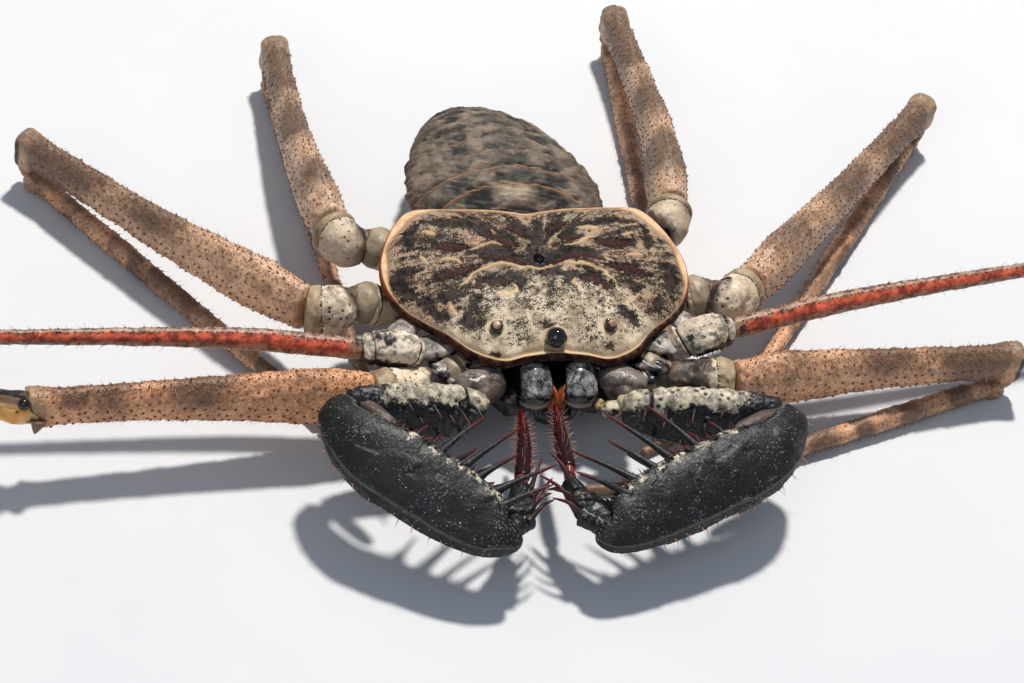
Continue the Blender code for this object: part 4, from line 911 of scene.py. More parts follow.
def makeLeg(name, joints, coat, patch):
    # Segments carried along the leg's own lines, with knuckles, soft joints, rows of bumps and hairs
    look, joints = leg, [np.array(joint, float) for joint in joints]
    coxaTip, trochanter, femurBase, femurMiddle, knee, ankle, claw = joints
    hip, thigh = hipFace(joints), unit(knee - femurMiddle)
    thighFace = unit(unit(femurBase - trochanter) + unit(femurMiddle - femurBase))
    slim = 0.86 if name.startswith("leg2") else 1.0
    seed, warm, folded = sum(map(ord, name)), look["warm"][name], name != "leg2Right"
    skin = Piece(name)
    # trochanter with its ring towards the thigh
    slender = np.array([slim, slim, slim, 1.0, 1.0, 1.0])
    tube = carry([coxaTip + hip * 0.02, trochanter, femurBase - thighFace * 0.04],
                 look["trochanterWidths"] * slender, look["trochanterDepths"] * slender, 110, 84,
                 ends=(0.45, 0.16))
    seam = look["ring"] + 0.04 * np.sin(tube.turn + 1.0)
    tube.lift(0.035 * tube.soft(0.9, seed) - 0.05 * tube.at(seam, 0.022) + 0.03 * tube.at(seam + 0.12, 0.06)
              - 0.06 * tube.at(0.3, 0.1) * hump(tube.wide, 0.3, 0.5))
    shade = step(tube.share + 0.06 * tube.soft(0.8, seed + 20), 0.4, 0.12)
    if name.startswith("leg4"):
        shade = np.maximum(shade, 0.3)
    if name in look["bowl"]:
        shade = np.maximum(shade, 1 - step(tube.share + 0.05 * tube.soft(0.8, seed + 22), 0.6, 0.72))
    skin.addTube(tube, hip=1.0, rim=tube.at(seam, 0.014) * step(tube.soft(0.25, seed + 23), -1.0, 0.2),
                 ring=step(tube.share, seam, seam + 0.03), shade=shade)
    teeth = turnsOf(40)
    roots, outs, along = tube.pick((look["ring"] + 0.04 * np.sin(teeth + 1.0)) * tube.length, teeth)
    skin.addSpikes(roots - 0.02 * outs, along + 0.35 * outs, 0.15, 0.055, 0.0, 4, 2, 0.9, hip=1.0, rim=1.0)
    addRow(skin, tube, 0.32, np.linspace(0.2, 6.1, 11), seed, 0.035, 0.03, hip=1.0, bead=0.9)
    skin.addTube(collar(coxaTip - hip * 0.5, coxaTip + hip * 0.5, 0.66 * slim, 0.7 * slim), soft=1.0)
    # femur, over the top of a folded elbow
    kneeEnd = knee - thigh * look["kneeInset"]
    stop = knee + thigh * look["kneeReach"] if folded else kneeEnd + thigh * 0.55
    femur = carry([femurBase - thighFace * 0.14, femurMiddle, kneeEnd, stop], look["femurWidths"],
                  look["femurDepths"], look["rows"], look["sides"], ends=(0.12, 0.24))
    left, rise = femur.left, femur.high
    femur.lift(0.05 * (hump(rise, 1.0, 0.1) + hump(rise, -1.0, 0.1)) + 0.03 * femur.soft(1.6, seed + 1)
               + 0.015 * femur.soft(0.5, seed + 15) + 0.05 * hump(femur.run, 0.3, 0.14)
               + 0.15 * np.sin(2 * femur.turn) ** 2 * step(left, 2.0, 0.4))
    if not folded:
        femur.grid = femur.grid - 0.8 * (step(left, 1.4, 0.0) * step(rise, 0.6, -0.5))[..., None] * thigh
    upper = 0.4 + 0.6 * step(rise, -0.3, 0.9)
    zones = np.maximum.reduce([femur.at(place, wide) * tone * (look["near"][name] if place < 0.3 else 1)
                               for place, wide, tone in look["zones"]])
    dark = (np.maximum(zones * upper, 0.9 * hump(left, 2.3, 0.8) * step(rise, 0.0, 0.9))
            + 0.5 * step(femur.run, 1.2, 0.2) * (1 - upper) + 0.18 * step(rise, 0.8, 0.98)
            + look["far"] * step(femur.share, 0.45, 0.85) * (1 if folded else 0.2)
            + look["dusk"].get(name, 0.0) * step(left, 5.0, 2.0) * step(left, 0.7, 1.3))
    reach = look["edge"].get(name, 0.24 if folded else 0.4)
    skin.addTube(femur, zone=dark, warm=warm, rim=0.7 * step(left, reach, reach - 0.2) * step(rise, 0.97, 0.5),
                 tan=step(left, 1.2, 0.7) * step(rise, -0.2, 0.5))
    angles = np.concatenate([np.linspace(-0.8, 0.85, 5), np.linspace(np.pi - 0.85, np.pi + 0.8, 5)])
    places = femur.rows(look["bumpSpacing"], angles, seed + 2, 0.4, 1.0)
    roots, outs, along = femur.pick(*places)
    skin.addBeads(roots, outs + 0.3 * along, look["bumpWidth"] * (0.75 + 0.25 * warm), look["bumpHeight"],
                  bead=0.85, warm=warm)
    gather(coat, femur, places, 0.2, 0.013, 0.7, seed + 3, patch, 0.55)
    addRow(skin, femur, 0.16, np.pi / 2 + np.array([-0.5, -0.3, -0.1, 0.1, 0.3, 0.5]), seed + 21,
           0.032 + 0.014 * warm, 0.03, bead=(0.3, 1.0), fringe=(0.0, 0.4), warm=warm)
    for middle, high, spacing, pale in ((np.pi / 2, 0.13, 0.5, 0.0), (3 * np.pi / 2, 0.12, 0.24, 1.0)):
        places = femur.rows(spacing, (middle - 0.14, middle + 0.14), seed + 4, 0.4, 1.1)
        roots, outs, along = femur.pick(*places)
        heights = high * np.random.default_rng(seed + 5).uniform(0.6, 1.3, len(roots))
        skin.addSpikes(roots - 0.04 * outs, outs + 0.35 * along, heights, 0.07, along * 0.04, 5, 3, 0.7,
                       bead=0.9 - 0.6 * pale, fringe=pale, warm=warm)
        gather(coat, femur, places, 0.38, 0.014, 0.5, seed + 6, patch, 0.3 + 0.6 * pale)
    # elbow
    if folded:
        flat = unit(thigh * (1, 1, 0))
        facePoint = knee - flat * (look["kneeInset"] - gap)
        skin.addGrid(elbowBlock(facePoint, flat, knee[2] + 0.3, seed), zone=0.45, warm=warm)
        shinStart = np.array([*(facePoint - flat * (look["shinInset"] - 0.1))[:2], look["tibiaHeight"]])
    else:
        shin = unit(ankle - knee)
        elbow = carry([kneeEnd - thigh * 0.2, knee + thigh * 0.5, knee + shin * 1.9], [0.5, 0.68, 0.66, 0.5],
                      [0.66, 0.86, 0.8, 0.58], 110, 84, ends=(0.2, 0.15))
        elbow.lift(0.05 * elbow.soft(0.8, seed + 7) - 0.05 * hump(elbow.high, 0.55, 0.1))
        skin.addTube(elbow, zone=0.9, warm=1.0, yellow=step(elbow.high, 0.8, 0.6),
                     rim=step(elbow.high, 0.93, 0.985))
        skin.addGrid(dome(look["condyle"], 0.29), rim=1.0, gloss=1.0)
        skin.addSpikes(np.array([look["spur"]]), [(-0.15, -0.25, -1.0)], 0.75, 0.4, thigh * 0.05, 16, 10, 0.75,
                       zone=0.9, warm=0.6)
        shinStart = knee + shin * (1.7 + gap / 2)
    # shin and foot
    footFace = unit(unit(ankle - shinStart) + unit(claw - ankle))
    tube = carry([shinStart, (shinStart + ankle) / 2, ankle - footFace * 0.05], [0.46, 0.5, 0.42, 0.34],
                 [0.5, 0.52, 0.44, 0.34], 130, 32, ends=(0.15, 0.12))
    tube.lift(0.03 * tube.soft(0.9, seed + 8))
    skin.addTube(tube, zone=0.4 + 0.3 * tube.soft(3.0, seed + 9), warm=0.7)
    places = tube.rows(0.45, np.linspace(0.3, 6.0, 6), seed + 10)
    roots, outs, along = tube.pick(*places)
    skin.addBeads(roots, outs + 0.3 * along, 0.05, 0.055, 5, bead=0.8)
    gather(coat, tube, places, 0.32, 0.013, 0.6, seed + 11, patch, 0.5)
    sole = (ankle + claw) / 2 * (1, 1, 0) + up * (0.15 + 0.25 * ankle[2])
    foot = carry([ankle - footFace * 0.03, sole, claw - (0, 0, 0.02)], [0.32, 0.3, 0.28, 0.24],
                 [0.34, 0.31, 0.3, 0.26], 90, 32, ends=(0.1, 0.2))
    notch = np.maximum.reduce([foot.at(place, 0.015) for place in (0.42, 0.58, 0.74)])
    foot.lift(-0.05 * notch)
    foot.grid[..., 2] = np.maximum(foot.grid[..., 2], 0.0)
    skin.addTube(foot, zone=0.6, warm=0.5, rim=notch * 0.5)
    runs, turns = foot.rows(0.2, np.linspace(0.3, 6.0, 6), seed + 12)
    keep = foot.pick(runs, turns)[0][:, 2] > 0.3
    gather(coat, foot, (runs[keep], turns[keep]), 0.3, 0.012, 0.8, seed + 13, patch, 0.8)
    toe = unit((claw - ankle) * (1, 1, 0))
    across = np.cross(up, toe)
    skin.addSpikes(claw + np.array([across, -across]) * 0.09 - toe * 0.12, [toe, toe], 0.42, 0.07, -up * 0.12,
                   6, 6, claw=1.0)
    skin.make(legFinish, "leg", *nodesOf(name, 4, "trochanter", "femur", "patella", "tibia", "tarsus"))


def elbowBlock(facePoint, outward, top, seed):
    # The elbow of a folded leg: rings one above the other, flat on the inner side, stepped in for the shin
    across, turn, height = np.cross(up, outward), turnsOf(72)[None], np.linspace(0, top, 90)[:, None]
    keys = np.array([(0.0, 0.55, 1.0), (0.25, 0.78, 1.0), (0.34 * top, 0.86, 1.0), (0.46 * top, 0.88, 0.0),
                     (0.75 * top, 0.86, 0.0), (0.93 * top, 0.7, 0.0), (top, 0.4, 0.0)])
    wide, inset = (np.interp(height, keys[:, 0], keys[:, k]) for k in (1, 2))
    middle = ((facePoint + outward * (0.35 - leg["shinInset"] * inset[..., None])) * (1, 1, 0)
              + up * height[..., None])
    reach = np.maximum(np.cos(turn) * 0.72 * wide, -0.35)
    block = middle + reach[..., None] * outward + (np.sin(turn) * 0.62 * wide)[..., None] * across
    inside = step(height, 0.0, 0.3)[..., None] * step(height, top, top - 0.2)[..., None]
    return block + (0.04 * inside * (waves(block, 0.7, seed) * (np.cos(turn) > -0.5))[..., None]
                    * unit(block - middle))


def paintLeg(wire):
    # Tan, more orange where it is warm, with grey-brown zones, cream hips, rust-red bumps and a white fringe
    value, noise, mottle = wire.value, wire.noise, wire.mottle
    patches = noise(420, 4, 0.62, 0.4) * 0.55 + noise(2400) * 0.45
    zone = (value("zone") + patches * 1.3 - 0.62).band(0.05, 0.85)
    cool = mottle(1500, 3, 0.35, 0.7, (227, 193, 161), (191, 157, 127))
    hot = mottle(1500, 3, 0.35, 0.7, (238, 174, 126), (202, 140, 95))
    hip = (mottle(900, 4, 0.4, 0.65, (232, 211, 182), (204, 180, 152))
           .coat((noise(620, 5, 0.65) + noise(4200, 2) * 0.2).band(0.6, 0.78) * 0.65, (60, 52, 46))
           .coat(wire.grains(3100).band(0.25, 0.17) * noise(700).band(0.38, 0.5), (34, 28, 24))
           .coat("shade", mottle(900, 4, 0.4, 0.65, (38, 29, 24), (100, 82, 68)))
           .coat("ring", mottle(900, 4, 0.4, 0.65, (170, 148, 116), (126, 108, 84))))
    yellow = wire.blend(noise(700, 4, 0.6, 0.8).band(0.35, 0.6), (236, 214, 170), (212, 144, 52))
    yellow = yellow.coat(noise(1300, 4).band(0.56, 0.64), (120, 66, 32))
    base = (wire.blend("warm", cool, hot).coat(value("tan") * 0.8, (166, 138, 106))
            .coat((noise(7500, 2, 0.7) + noise(900) * 0.3).band(0.56, 0.8) * 0.6, (104, 74, 54))
            .coat(zone * 0.85, (84, 64, 50)).coat("hip", hip).coat("soft", (92, 72, 52)).coat("yellow", yellow)
            .coat(value("rim").band(0.25, 0.8), (26, 19, 16))
            .coat("bead", wire.blend("warm", (92, 68, 52), (106, 50, 30)))
            .coat(value("fringe") * value("tip").band(0.1, 0.6), (222, 208, 188)).coat("claw", (30, 16, 12)))
    return wire.surface(base, 0.4 + noise(1700) * 0.25 - value("gloss") * 0.4,
                        noise(2600, 4) + wire.grains(4200) * 0.6, 0.00004, 0.8)


def paintHair(wire):
    # Hairs from dark brown over orange to pale, by their tone
    stops = [(0.0, (24, 16, 12)), (0.5, (92, 52, 32)), (0.75, (190, 96, 52)), (1.0, (226, 206, 184))]
    return {"Base Color": wire.add("ValToRGB", {"stops": stops}, {"Fac": wire.value("tone")})}


# Whips

whip = {"trochanterWidths": [0.5, 0.84, 0.92, 0.84, 0.5], "trochanterDepths": [0.5, 0.78, 0.86, 0.8, 0.52],
        "femurWidths": [0.5, 0.52, 0.43, 0.36, 0.32, 0.3], "femurDepths": [0.5, 0.54, 0.45, 0.37, 0.33, 0.3],
        "split": 40, "radii": (0.3, 0.28, 0.25)}


def makeWhip(name, joints, coat, patch):
    # A jointed thigh, then a long shin and lash swept back in an arc, ringed by many short segments
    look, joints = whip, [np.array(joint, float) for joint in joints]
    coxaTip, femurBase, femurMiddle, knee, ankle, lash, tip = joints
    start, seed = hipFace(joints), sum(map(ord, name))
    face = unit(start + unit(femurMiddle - femurBase))
    front = 1 if name.endswith("Right") else -1  # the side of a section that looks ahead
    skin = Piece(name)
    tube = carry([coxaTip - start * 0.1, (coxaTip + femurBase) / 2 + up * 0.25, femurBase - face * 0.05],
                 look["trochanterWidths"], look["trochanterDepths"], 120, 80, ends=(0.5, 0.3))
    rise, ahead = tube.high, step(-front * tube.wide, 0.0, 0.4)
    seam = 0.2 - 0.05 * rise
    tube.lift(0.03 * tube.soft(0.7, seed) + 0.05 * tube.at(0.9, 0.05) - 0.08 * tube.at(seam, 0.02)
              - 0.07 * tube.at(0.82, 0.03) + 0.1 * hump(rise, -0.55, 0.1) * ahead
              - 0.05 * hump(rise, 0.75, 0.2) * tube.at(0.5, 0.3))
    skin.addTube(tube, hip=1.0, low=step(rise, 0.3, -0.5) * step(tube.share, 0.15, 0.4),
                 rim=np.maximum.reduce([tube.at(seam, 0.018), 0.7 * tube.at(0.82, 0.02),
                                        0.6 * hump(rise, -0.55, 0.07) * ahead, step(tube.share, 0.95, 1.0)]))
    addRow(skin, tube, 0.3, np.linspace(0.2, 6.1, 12), seed + 9, 0.035, 0.03, hip=1.0, bead=0.9)
    roots, outs, _ = tube.pick(np.linspace(0.3, 0.85, 7) * tube.length,
                               np.full(7, np.pi + 0.6 if front > 0 else -0.6))
    skin.addSpikes(roots - 0.02 * outs, outs - 0.3 * up, 0.17, 0.04, 0.0, 5, orange=1.0)
    skin.addTube(collar(coxaTip - start * 0.5, coxaTip + start * 0.4, 0.4, 0.36), soft=1.0)
    shin = unit(ankle - knee + np.array([np.sign(knee[0]) * 14, 0, 3]))
    kneeFace = unit(unit(knee - femurMiddle) + shin)
    femur = carry([femurBase - face * 0.2, femurMiddle, knee - kneeFace * 0.1], look["femurWidths"],
                  look["femurDepths"], 340, 48, ends=(0.1, 0.1))
    femur.lift(0.04 * hump(femur.high, 1.0, 0.08) + 0.015 * femur.soft(0.8, seed + 2)
               - 0.05 * step(femur.run, 0.5, 0.0))
    ragged = femur.high + 0.12 * femur.soft(0.5, seed + 12)
    skin.addTube(femur, crest=step(ragged + 0.6 * front * femur.wide, 0.62, 0.92),
                 dark=step(femur.run, 1.0, 0.3), under=step(ragged, 0.42, 0.12))
    for middle, spacing, high in ((np.pi / 2, 0.34, 0.1), (3 * np.pi / 2, 0.5, 0.08)):
        pair = (middle - 0.3, middle + 0.3)
        roots, outs, along = femur.pick(*femur.rows(spacing, pair, seed + 3))
        skin.addSpikes(roots - 0.03 * outs, outs + 0.4 * along, high, 0.045, along * 0.03, 5, bead=1.0)
        gather(coat, femur, femur.rows(0.9, pair, seed + 13), 0.34, 0.014, 0.7, seed + 4, patch, 0.3)
    gather(coat, femur, femur.rows(1.1, (0.0, 0.5, 2.6, 3.14, 3.7, 5.6), seed + 5), 0.3, 0.012, 0.7, seed + 6,
           patch, 0.4)
    sweep = smoothLine([knee, knee + shin * 7, ankle, lash, tip], 90)
    shinLine = np.vstack([knee + kneeFace * gap / 2, knee + kneeFace * (gap / 2 + 0.4),
                          sweep[3:look["split"]:3], sweep[look["split"]]])
    for line, radii, segments in ((shinLine, look["radii"][:2], 24),
                                  (sweep[look["split"]:88:3], look["radii"][1:], 60)):
        tube = carry(line, radii, radii, 520, 16, ends=(0.1, 0.3))
        ring = np.abs(np.mod(tube.share * segments, 1) - 0.5) * 2
        skin.addTube(tube.lift(-0.035 * step(ring, 0.8, 1.0) - 0.02), ring=step(ring, 0.75, 1.0), lash=1.0)
        gather(coat, tube, tube.rows(0.9, (0.5, 2.0, 3.6, 5.2), seed + 7), 0.25, 0.01, 1.2, seed + 8, patch,
               0.4)
    skin.addTube(collar(knee - kneeFace * 0.35, knee + kneeFace * 0.4, 0.22, 0.22), soft=1.0)
    skin.make(whipFinish, "whip", *nodesOf(name, 4, "trochanter", "femur", "tibia", "tarsus"))


def paintWhip(wire):
    # Rust red with a grey-tan crest and a dull lower side, cream base with black blotches
    value, noise, mottle = wire.value, wire.noise, wire.mottle
    tan = mottle(2600, 4, 0.4, 0.6, (168, 140, 116), (82, 60, 50), 0.65)
    hip = (mottle(700, 3, 0.4, 0.62, (230, 214, 190), (196, 178, 155))
           .coat((noise(2600, 5, 0.7) + noise(500) * 0.4).band(0.66, 0.84) * 0.75, (74, 70, 66))
           .coat((noise(850, 5, 0.68) + value("low") * 0.16).band(0.52, 0.63), (34, 31, 28)))
    base = (mottle(1900, 4, 0.36, 0.62, (222, 102, 68), (128, 50, 36), 0.7).coat(value("crest") * 0.9, tan)
            .coat(value("under") * 0.8, tan).coat("lash", wire.blend("ring", (132, 70, 48), (66, 38, 28)))
            .coat("hip", hip).coat("soft", (112, 96, 78)).coat(value("rim").band(0.25, 0.8), (24, 18, 16))
            .coat("dark", mottle(1400, 4, 0.42, 0.56, (150, 118, 92), (26, 20, 18))).coat("bead", (50, 24, 18))
            .coat("orange", (196, 84, 36)))
    return wire.surface(base, 0.3 + noise(1500) * 0.25, noise(3600) + wire.grains(3800) * 0.6, 0.00004, 0.9)


# Arms

arm = {
    "tilt": 35.0, "bladeWidths": [0.6, 0.95, 1.3, 1.65, 1.85, 1.85, 1.85, 1.8, 1.65, 1.35, 0.95],
    "bladeDepths": [0.5, 0.65, 0.8, 0.85, 0.85, 0.85, 0.85, 0.8, 0.78, 0.7, 0.55], "rows": 260, "sides": 150,
    "upperSpines": [(0.4, 1.1, 8, 0), (0.51, 3.4, 12, 0), (0.61, 4.1, 17, 0), (0.68, 2.7, 22, 0),
                    (0.76, 3.5, 31, 0.1), (0.83, 2.2, 42, 0.7)],
    "lowerSpines": [(0.45, 1.5, 5, -0.6), (0.56, 2.2, 12, -0.6), (0.645, 1.8, 18, -0.6), (0.72, 1.7, 26, -0.6)],
    "shift": {"armRight": 0.04, "armLeft": 0.0}, "sink": 0.5, "shadeKeel": 0.85, "thorns": 70, "grains": 1000,
    "hands": {"armRight": [(-3.9, -14.3, 3.65), (-3.2, -13.3, 3.5), (-2.9, -12.4, 3.4), (-2.75, -11.5, 3.4)],
              "armLeft": [(1.05, -14.25, 3.5), (0.3, -13.3, 3.45), (-0.2, -12.3, 3.4), (-0.45, -11.4, 3.45)]},
    "handSpines": [(1, 0.3, (1.15, 0.8, 0.55)), (2, 0.3, (0.95, 1.9, 0.9)), (2, -0.2, (1.0, 1.0, -0.7)),
                   (1, 0.0, (1.5, 2.1, 0.2)), (0, 0.25, (1.4, 1.1, 0.5))],
    "femurSpines": [(3, 1.3, 0.45), (6, 1.7, 0.45), (10, 1.3, 0.45), (14, 0.9, 0.45), (5, 1.2, -0.45),
                    (9, 1.5, -0.45), (13, 1.1, -0.45), (7, 1.0, 0.1), (12, 0.9, 0.0)],
    # small plates: middle, length, width, height, turn in degrees, and the value that colours them
    "plates": {
        "armRight": [((-3.65, -5.3, 3.85), 1.25, 0.72, 0.6, 12, "glass"),
                     ((-4.25, -6.6, 3.9), 0.85, 0.42, 0.4, -8, "sclerite"),
                     ((-9.2, -8.6, 5.2), 1.3, 0.4, 0.35, -54, "soft")],
        "armLeft": [((3.25, -5.35, 3.85), 1.2, 0.7, 0.6, -15, "glass"),
                    ((3.65, -6.55, 3.75), 0.9, 0.5, 0.4, 12, "sclerite"),
                    ((2.55, -6.75, 3.4), 0.6, 0.4, 0.35, 12, "sclerite"),
                    ((1.95, -6.5, 3.4), 0.3, 0.26, 0.3, 20, "yellow"),
                    ((8.75, -9.2, 4.75), 1.5, 0.4, 0.35, 28, "soft")],
    },
}


def addSpine(skin, root, tip, bow, radius, start=0.0, **values):
    # A bowed spine of round rings along root, middle and tip: a flared foot, a slender shaft and a sharp end
    line, share = smoothLine([root, np.add(root, tip) / 2 + up * bow, tip], 30), np.linspace(0, 1, 30)
    thick = radius * (0.62 + 0.7 * np.exp(-share / 0.12)) * (1 - share) ** 0.5 + 0.008
    tube = tubeAlong(line, thick, thick, 14, (0.1, 0.2, 1.0))
    skin.addTube(tube, spine=start + (1 - start) * tube.share, **values)


def makeArm(name, joints, coat, patch):
    # Trochanter dome and plates, spiny thigh, broad tilted blade with two rows of long spines, and a hand
    look, seed = arm, sum(map(ord, name))
    inward = np.array([1.0 if name.endswith("Right") else -1.0, 0, 0])
    draw, skin = np.random.default_rng(seed), Piece(name)
    hip, thigh, patella, tibia, tarsus = (np.array(line) for line in joints.values())
    tube = carry(hip, [0.72, 0.88, 0.74], [0.57, 0.78, 0.72], 80, 64)
    skin.addTube(tube.lift(0.03 * tube.soft(0.7, seed)), glass=0.5)
    for middle, length, width, thick, turn, kind in look["plates"][name]:
        cushion = plate(middle, length, width, turn, thick)
        skin.addGrid(cushion + 0.03 * waves(cushion, 0.5, seed)[..., None] * up, **{kind: 1.0})
    # thigh with pits, a black keel below that deepens it and stands in for the shade between thigh and blade,
    # and short spines
    tube = carry([*thigh, thigh[2] + unit(thigh[2] - thigh[1]) * 0.9 - up * 0.15], [0.6, 0.82, 0.86, 0.8, 0.6],
                 [0.75, 1.08, 1.15, 1.05, 0.8], 150, 100, ends=(0.5, 0.5))
    pit = cells(tube.grid, 0.4, seed)
    # The keel's black is partly the thigh's own dark face and partly a stand-in for shade
    shadeKeel = look["shadeKeel"] * step(tube.high, -0.1, -0.8) * tube.at(0.52, 0.42)
    tube.grid = tube.grid + shadeKeel[..., None] * (0.0, -0.35, -1.0)
    tube.lift(0.04 * tube.soft(0.8, seed + 1) - 0.05 * step(pit, 0.32, 0.12) - 0.07 * tube.at(0.17, 0.02))
    top = step(tube.high + 0.25 * tube.soft(0.8, seed + 11), 0.1, 0.95)
    skin.addTube(tube, crust=top * step(tube.share, 1.0, 0.6) * 0.62 + 0.2 * step(tube.share, 0.22, 0.12),
                 pit=step(pit, 0.3, 0.18), rim=tube.at(0.17, 0.018))
    skin.addTube(collar(hip[2] + (0, 0.3, 0), thigh[0] + (-inward[0] * 0.7, -0.1, 0), 0.55, 0.55), soft=1.0)
    line = smoothLine(thigh, 21)
    for place, reach, height in look["femurSpines"]:
        root = line[place] + (0, -0.35, height)
        addSpine(skin, root, root + inward * 0.35 * reach + (0, -reach, 0.6 * height), 0.4 * height, 0.16,
                 red=0.8)
    # blade: a section tilted inwards and square to the path, shrunk like a quarter circle over its ends
    rows, path = look["rows"], smoothLine(patella, look["rows"])
    share, tangent = np.linspace(0, 1, rows), unit(np.gradient(path, axis=0))
    level, tilt = unit(np.cross(up, tangent)) * inward[0], np.radians(look["tilt"])
    across = np.cos(tilt) * level + np.sin(tilt) * up
    across = unit(across - tangent * np.sum(across * tangent, 1, keepdims=True))
    face = np.cross(tangent, across) * inward[0]
    width, depth = (smoothValues(look[key], share) for key in ("bladeWidths", "bladeDepths"))
    end = np.minimum(share / 0.03, (1 - share) / 0.15)
    shrink = 0.25 + 0.75 * np.sqrt(1 - np.clip(1 - end, 0, 1) ** 2)
    blade = Tube(path, tangent, across, face, shrink * width, shrink * depth, look["sides"])
    widest = across * width[:, None]
    edges, spines = path + widest * 0.7, []
    for side, row in ((1, look["upperSpines"]), (-1, look["lowerSpines"])):
        for along, length, lean, rise in row:
            here = int(round((along + look["shift"][name]) * (rows - 1)))
            way = level[here] * np.cos(np.radians(lean)) + tangent[here] * (1, 1, 0) * np.sin(np.radians(lean))
            root = edges[here] + face[here] * 0.25 * side
            spines.append((root, root + way * (length + look["sink"]) + up * rise, 0.1 * side))
    near = np.max([hump(size(blade.grid - root - across[:, None] * 0.25), 0, 0.6) for root, _, bow in spines
                   if bow > 0], axis=0)
    wide, high = blade.wide, blade.high
    ridge = (hump(wide, -0.78, 0.05) * step(high, 0.0, 0.4) * step(blade.share, 0.1, 0.25)
             + hump(wide, 0.9, 0.05) * step(high, 0.0, 0.3) * step(blade.share, 0.35, 0.15)
             + 0.9 * blade.at(0.035, 0.008) * step(high, -0.2, 0.3))
    inner = hump(wide, 0.92, 0.2) * step(high, -0.4, 0.2)
    crust = inner * (0.06 + 0.12 * blade.soft(0.8, seed + 12) + 0.42 * near)
    blade.lift(0.014 * hump(cells(blade.grid, 0.13, seed + 2), 0.0, 0.7) + 0.004 * blade.soft(0.3, seed + 3)
               + 0.045 * ridge + 0.03 * blade.soft(1.4, seed + 4) + 0.06 * near)
    skin.addTube(blade, crust=crust, ridge=ridge)
    for root, tip, bow in spines:
        addSpine(skin, root, tip, bow, 0.28, red=1.0)
    count = look["thorns"]
    here = draw.integers(int(0.3 * rows), int(0.92 * rows), count)
    roots = edges[here] + face[here] * draw.uniform(-0.4, 0.5, (count, 1)) + widest[here] * 0.22
    ways = (level[here] + tangent[here] * draw.uniform(0, 0.6, (count, 1))
            + up * draw.normal(0, 0.25, (count, 1)))
    skin.addSpikes(roots, ways, draw.uniform(0.2, 0.7, count), draw.uniform(0.04, 0.09, count), 0.0, 6, 4, 0.7,
                   spike=1.0)
    count = look["grains"]
    roots, outs, _ = blade.pick(draw.uniform(0.3, blade.length - 0.2, count), draw.uniform(0, 6.28, count))
    skin.addBeads(roots, outs, draw.uniform(0.02, 0.05, count), draw.uniform(0.015, 0.035, count), 5,
                  crust=draw.uniform(0, 1, count) ** 7)
    gather(coat, blade, blade.rows(0.75, (2.75, 3.2), seed + 5), 0.48, 0.026, 0.1, seed + 6, patch, 0.82)
    gather(coat, blade, blade.rows(1.6, (1.0, 1.6, 2.3), seed + 15), 0.25, 0.012, 0.2, seed + 16, patch, 0.8)
    # hand and claw
    hand = carry(look["hands"][name], [0.8, 0.85, 0.62, 0.42], [0.6, 0.6, 0.52, 0.44], 100, 64,
                 ends=(0.35, 0.3))
    skin.addTube(hand.lift(0.03 * hand.soft(0.6, seed + 7)), gloss=0.6)
    wrist = tibia[0] + unit(tibia[1] - tibia[0]) * 0.4
    skin.addTube(collar(patella[-1] - tangent[-1] * 0.4, wrist, 0.46, 0.52), gloss=1.0)
    for place, height, reach in look["handSpines"]:
        addSpine(skin, tibia[place] + up * height, tibia[place] + inward * reach[0] + (0, *reach[1:]), 0.3,
                 0.2, 0.5, red=0.9)
    skin.make(armFinish, "arm", *nodesOf(name, 3, "trochanter", "femur", "patella", "tibia"))
    claw = Piece("claw" + name[3:])
    tube = carry(tarsus, [0.38, 0.37, 0.28, 0.1], [0.36, 0.36, 0.28, 0.1], 120, 40, ends=(0.2, 0.1))
    claw.addTube(tube.lift(-0.03 * tube.at(0.55, 0.02)), tone=tube.share)
    claw.addTube(collar(tibia[-1] - (0, 0.25, 0), tarsus[0] + (0, 0.3, 0), 0.3, 0.32), joint=1.0)
    gather(coat, tube, tube.rows(0.3, (0.0, 0.7, 1.6, 2.5, 3.14, 4.7), seed + 8, 0.5), 0.44, 0.017, 0.3,
           seed + 9, patch, 0.84)
    claw.make(clawFinish, "claw", *nodesOf(name, 3, "tarsus"))


def paintArm(wire):
    # Black cuticle with few pale grains and fine grey flecks, partly real specks and partly painted glints,
    # cream crust near the spines' roots, spines crimson to the tip
    value, noise, mottle = wire.value, wire.noise, wire.mottle
    crust = (value("crust") + (noise(3200, 4, 0.8) - 0.5) * 1.6).band(0.3, 0.5)
    base = (mottle(1200, 4, 0.35, 0.7, (8, 8, 9), (24, 24, 25))
            # pale grains and fine grey flecks: partly real pale specks, partly painted glints on the black
            .coat(wire.grains(4600).band(0.2, 0.1) * noise(800).band(0.48, 0.6) * 0.75, (150, 144, 136))
            .coat((noise(9000, 1) + noise(800) * 0.5).band(0.86, 1.04) * 0.7, (120, 120, 122))
            .coat(value("ridge").band(0.4, 1.0) * 0.7, (92, 88, 84))
            .coat(crust, mottle(2600, 3, 0.38, 0.62, (206, 194, 168), (130, 122, 108)))
            .coat("sclerite", mottle(1300, 4, 0.5, 0.6, (178, 164, 136), (30, 28, 26), 0.62))
            .coat("yellow", mottle(1500, 4, 0.4, 0.55, (176, 142, 84), (30, 26, 22)))
            .coat("glass", mottle(1100, 4, 0.42, 0.64, (128, 116, 108), (62, 54, 50))).coat("pit", (12, 12, 12))
            .coat(value("spine").band(0.5, 1.0) * value("red"), (88, 9, 14))
            .coat(value("spike") * value("tip").band(0.2, 0.9), (110, 26, 20)).coat("soft", (76, 62, 54))
            .coat(value("rim").band(0.3, 0.8), (14, 13, 13)))
    return wire.surface(base, 0.38 + noise(1500) * 0.25 - value("gloss") * 0.15 - value("glass") * 0.18,
                        wire.grains(7500) * -1.0 + noise(5000), 0.000012, 0.9)


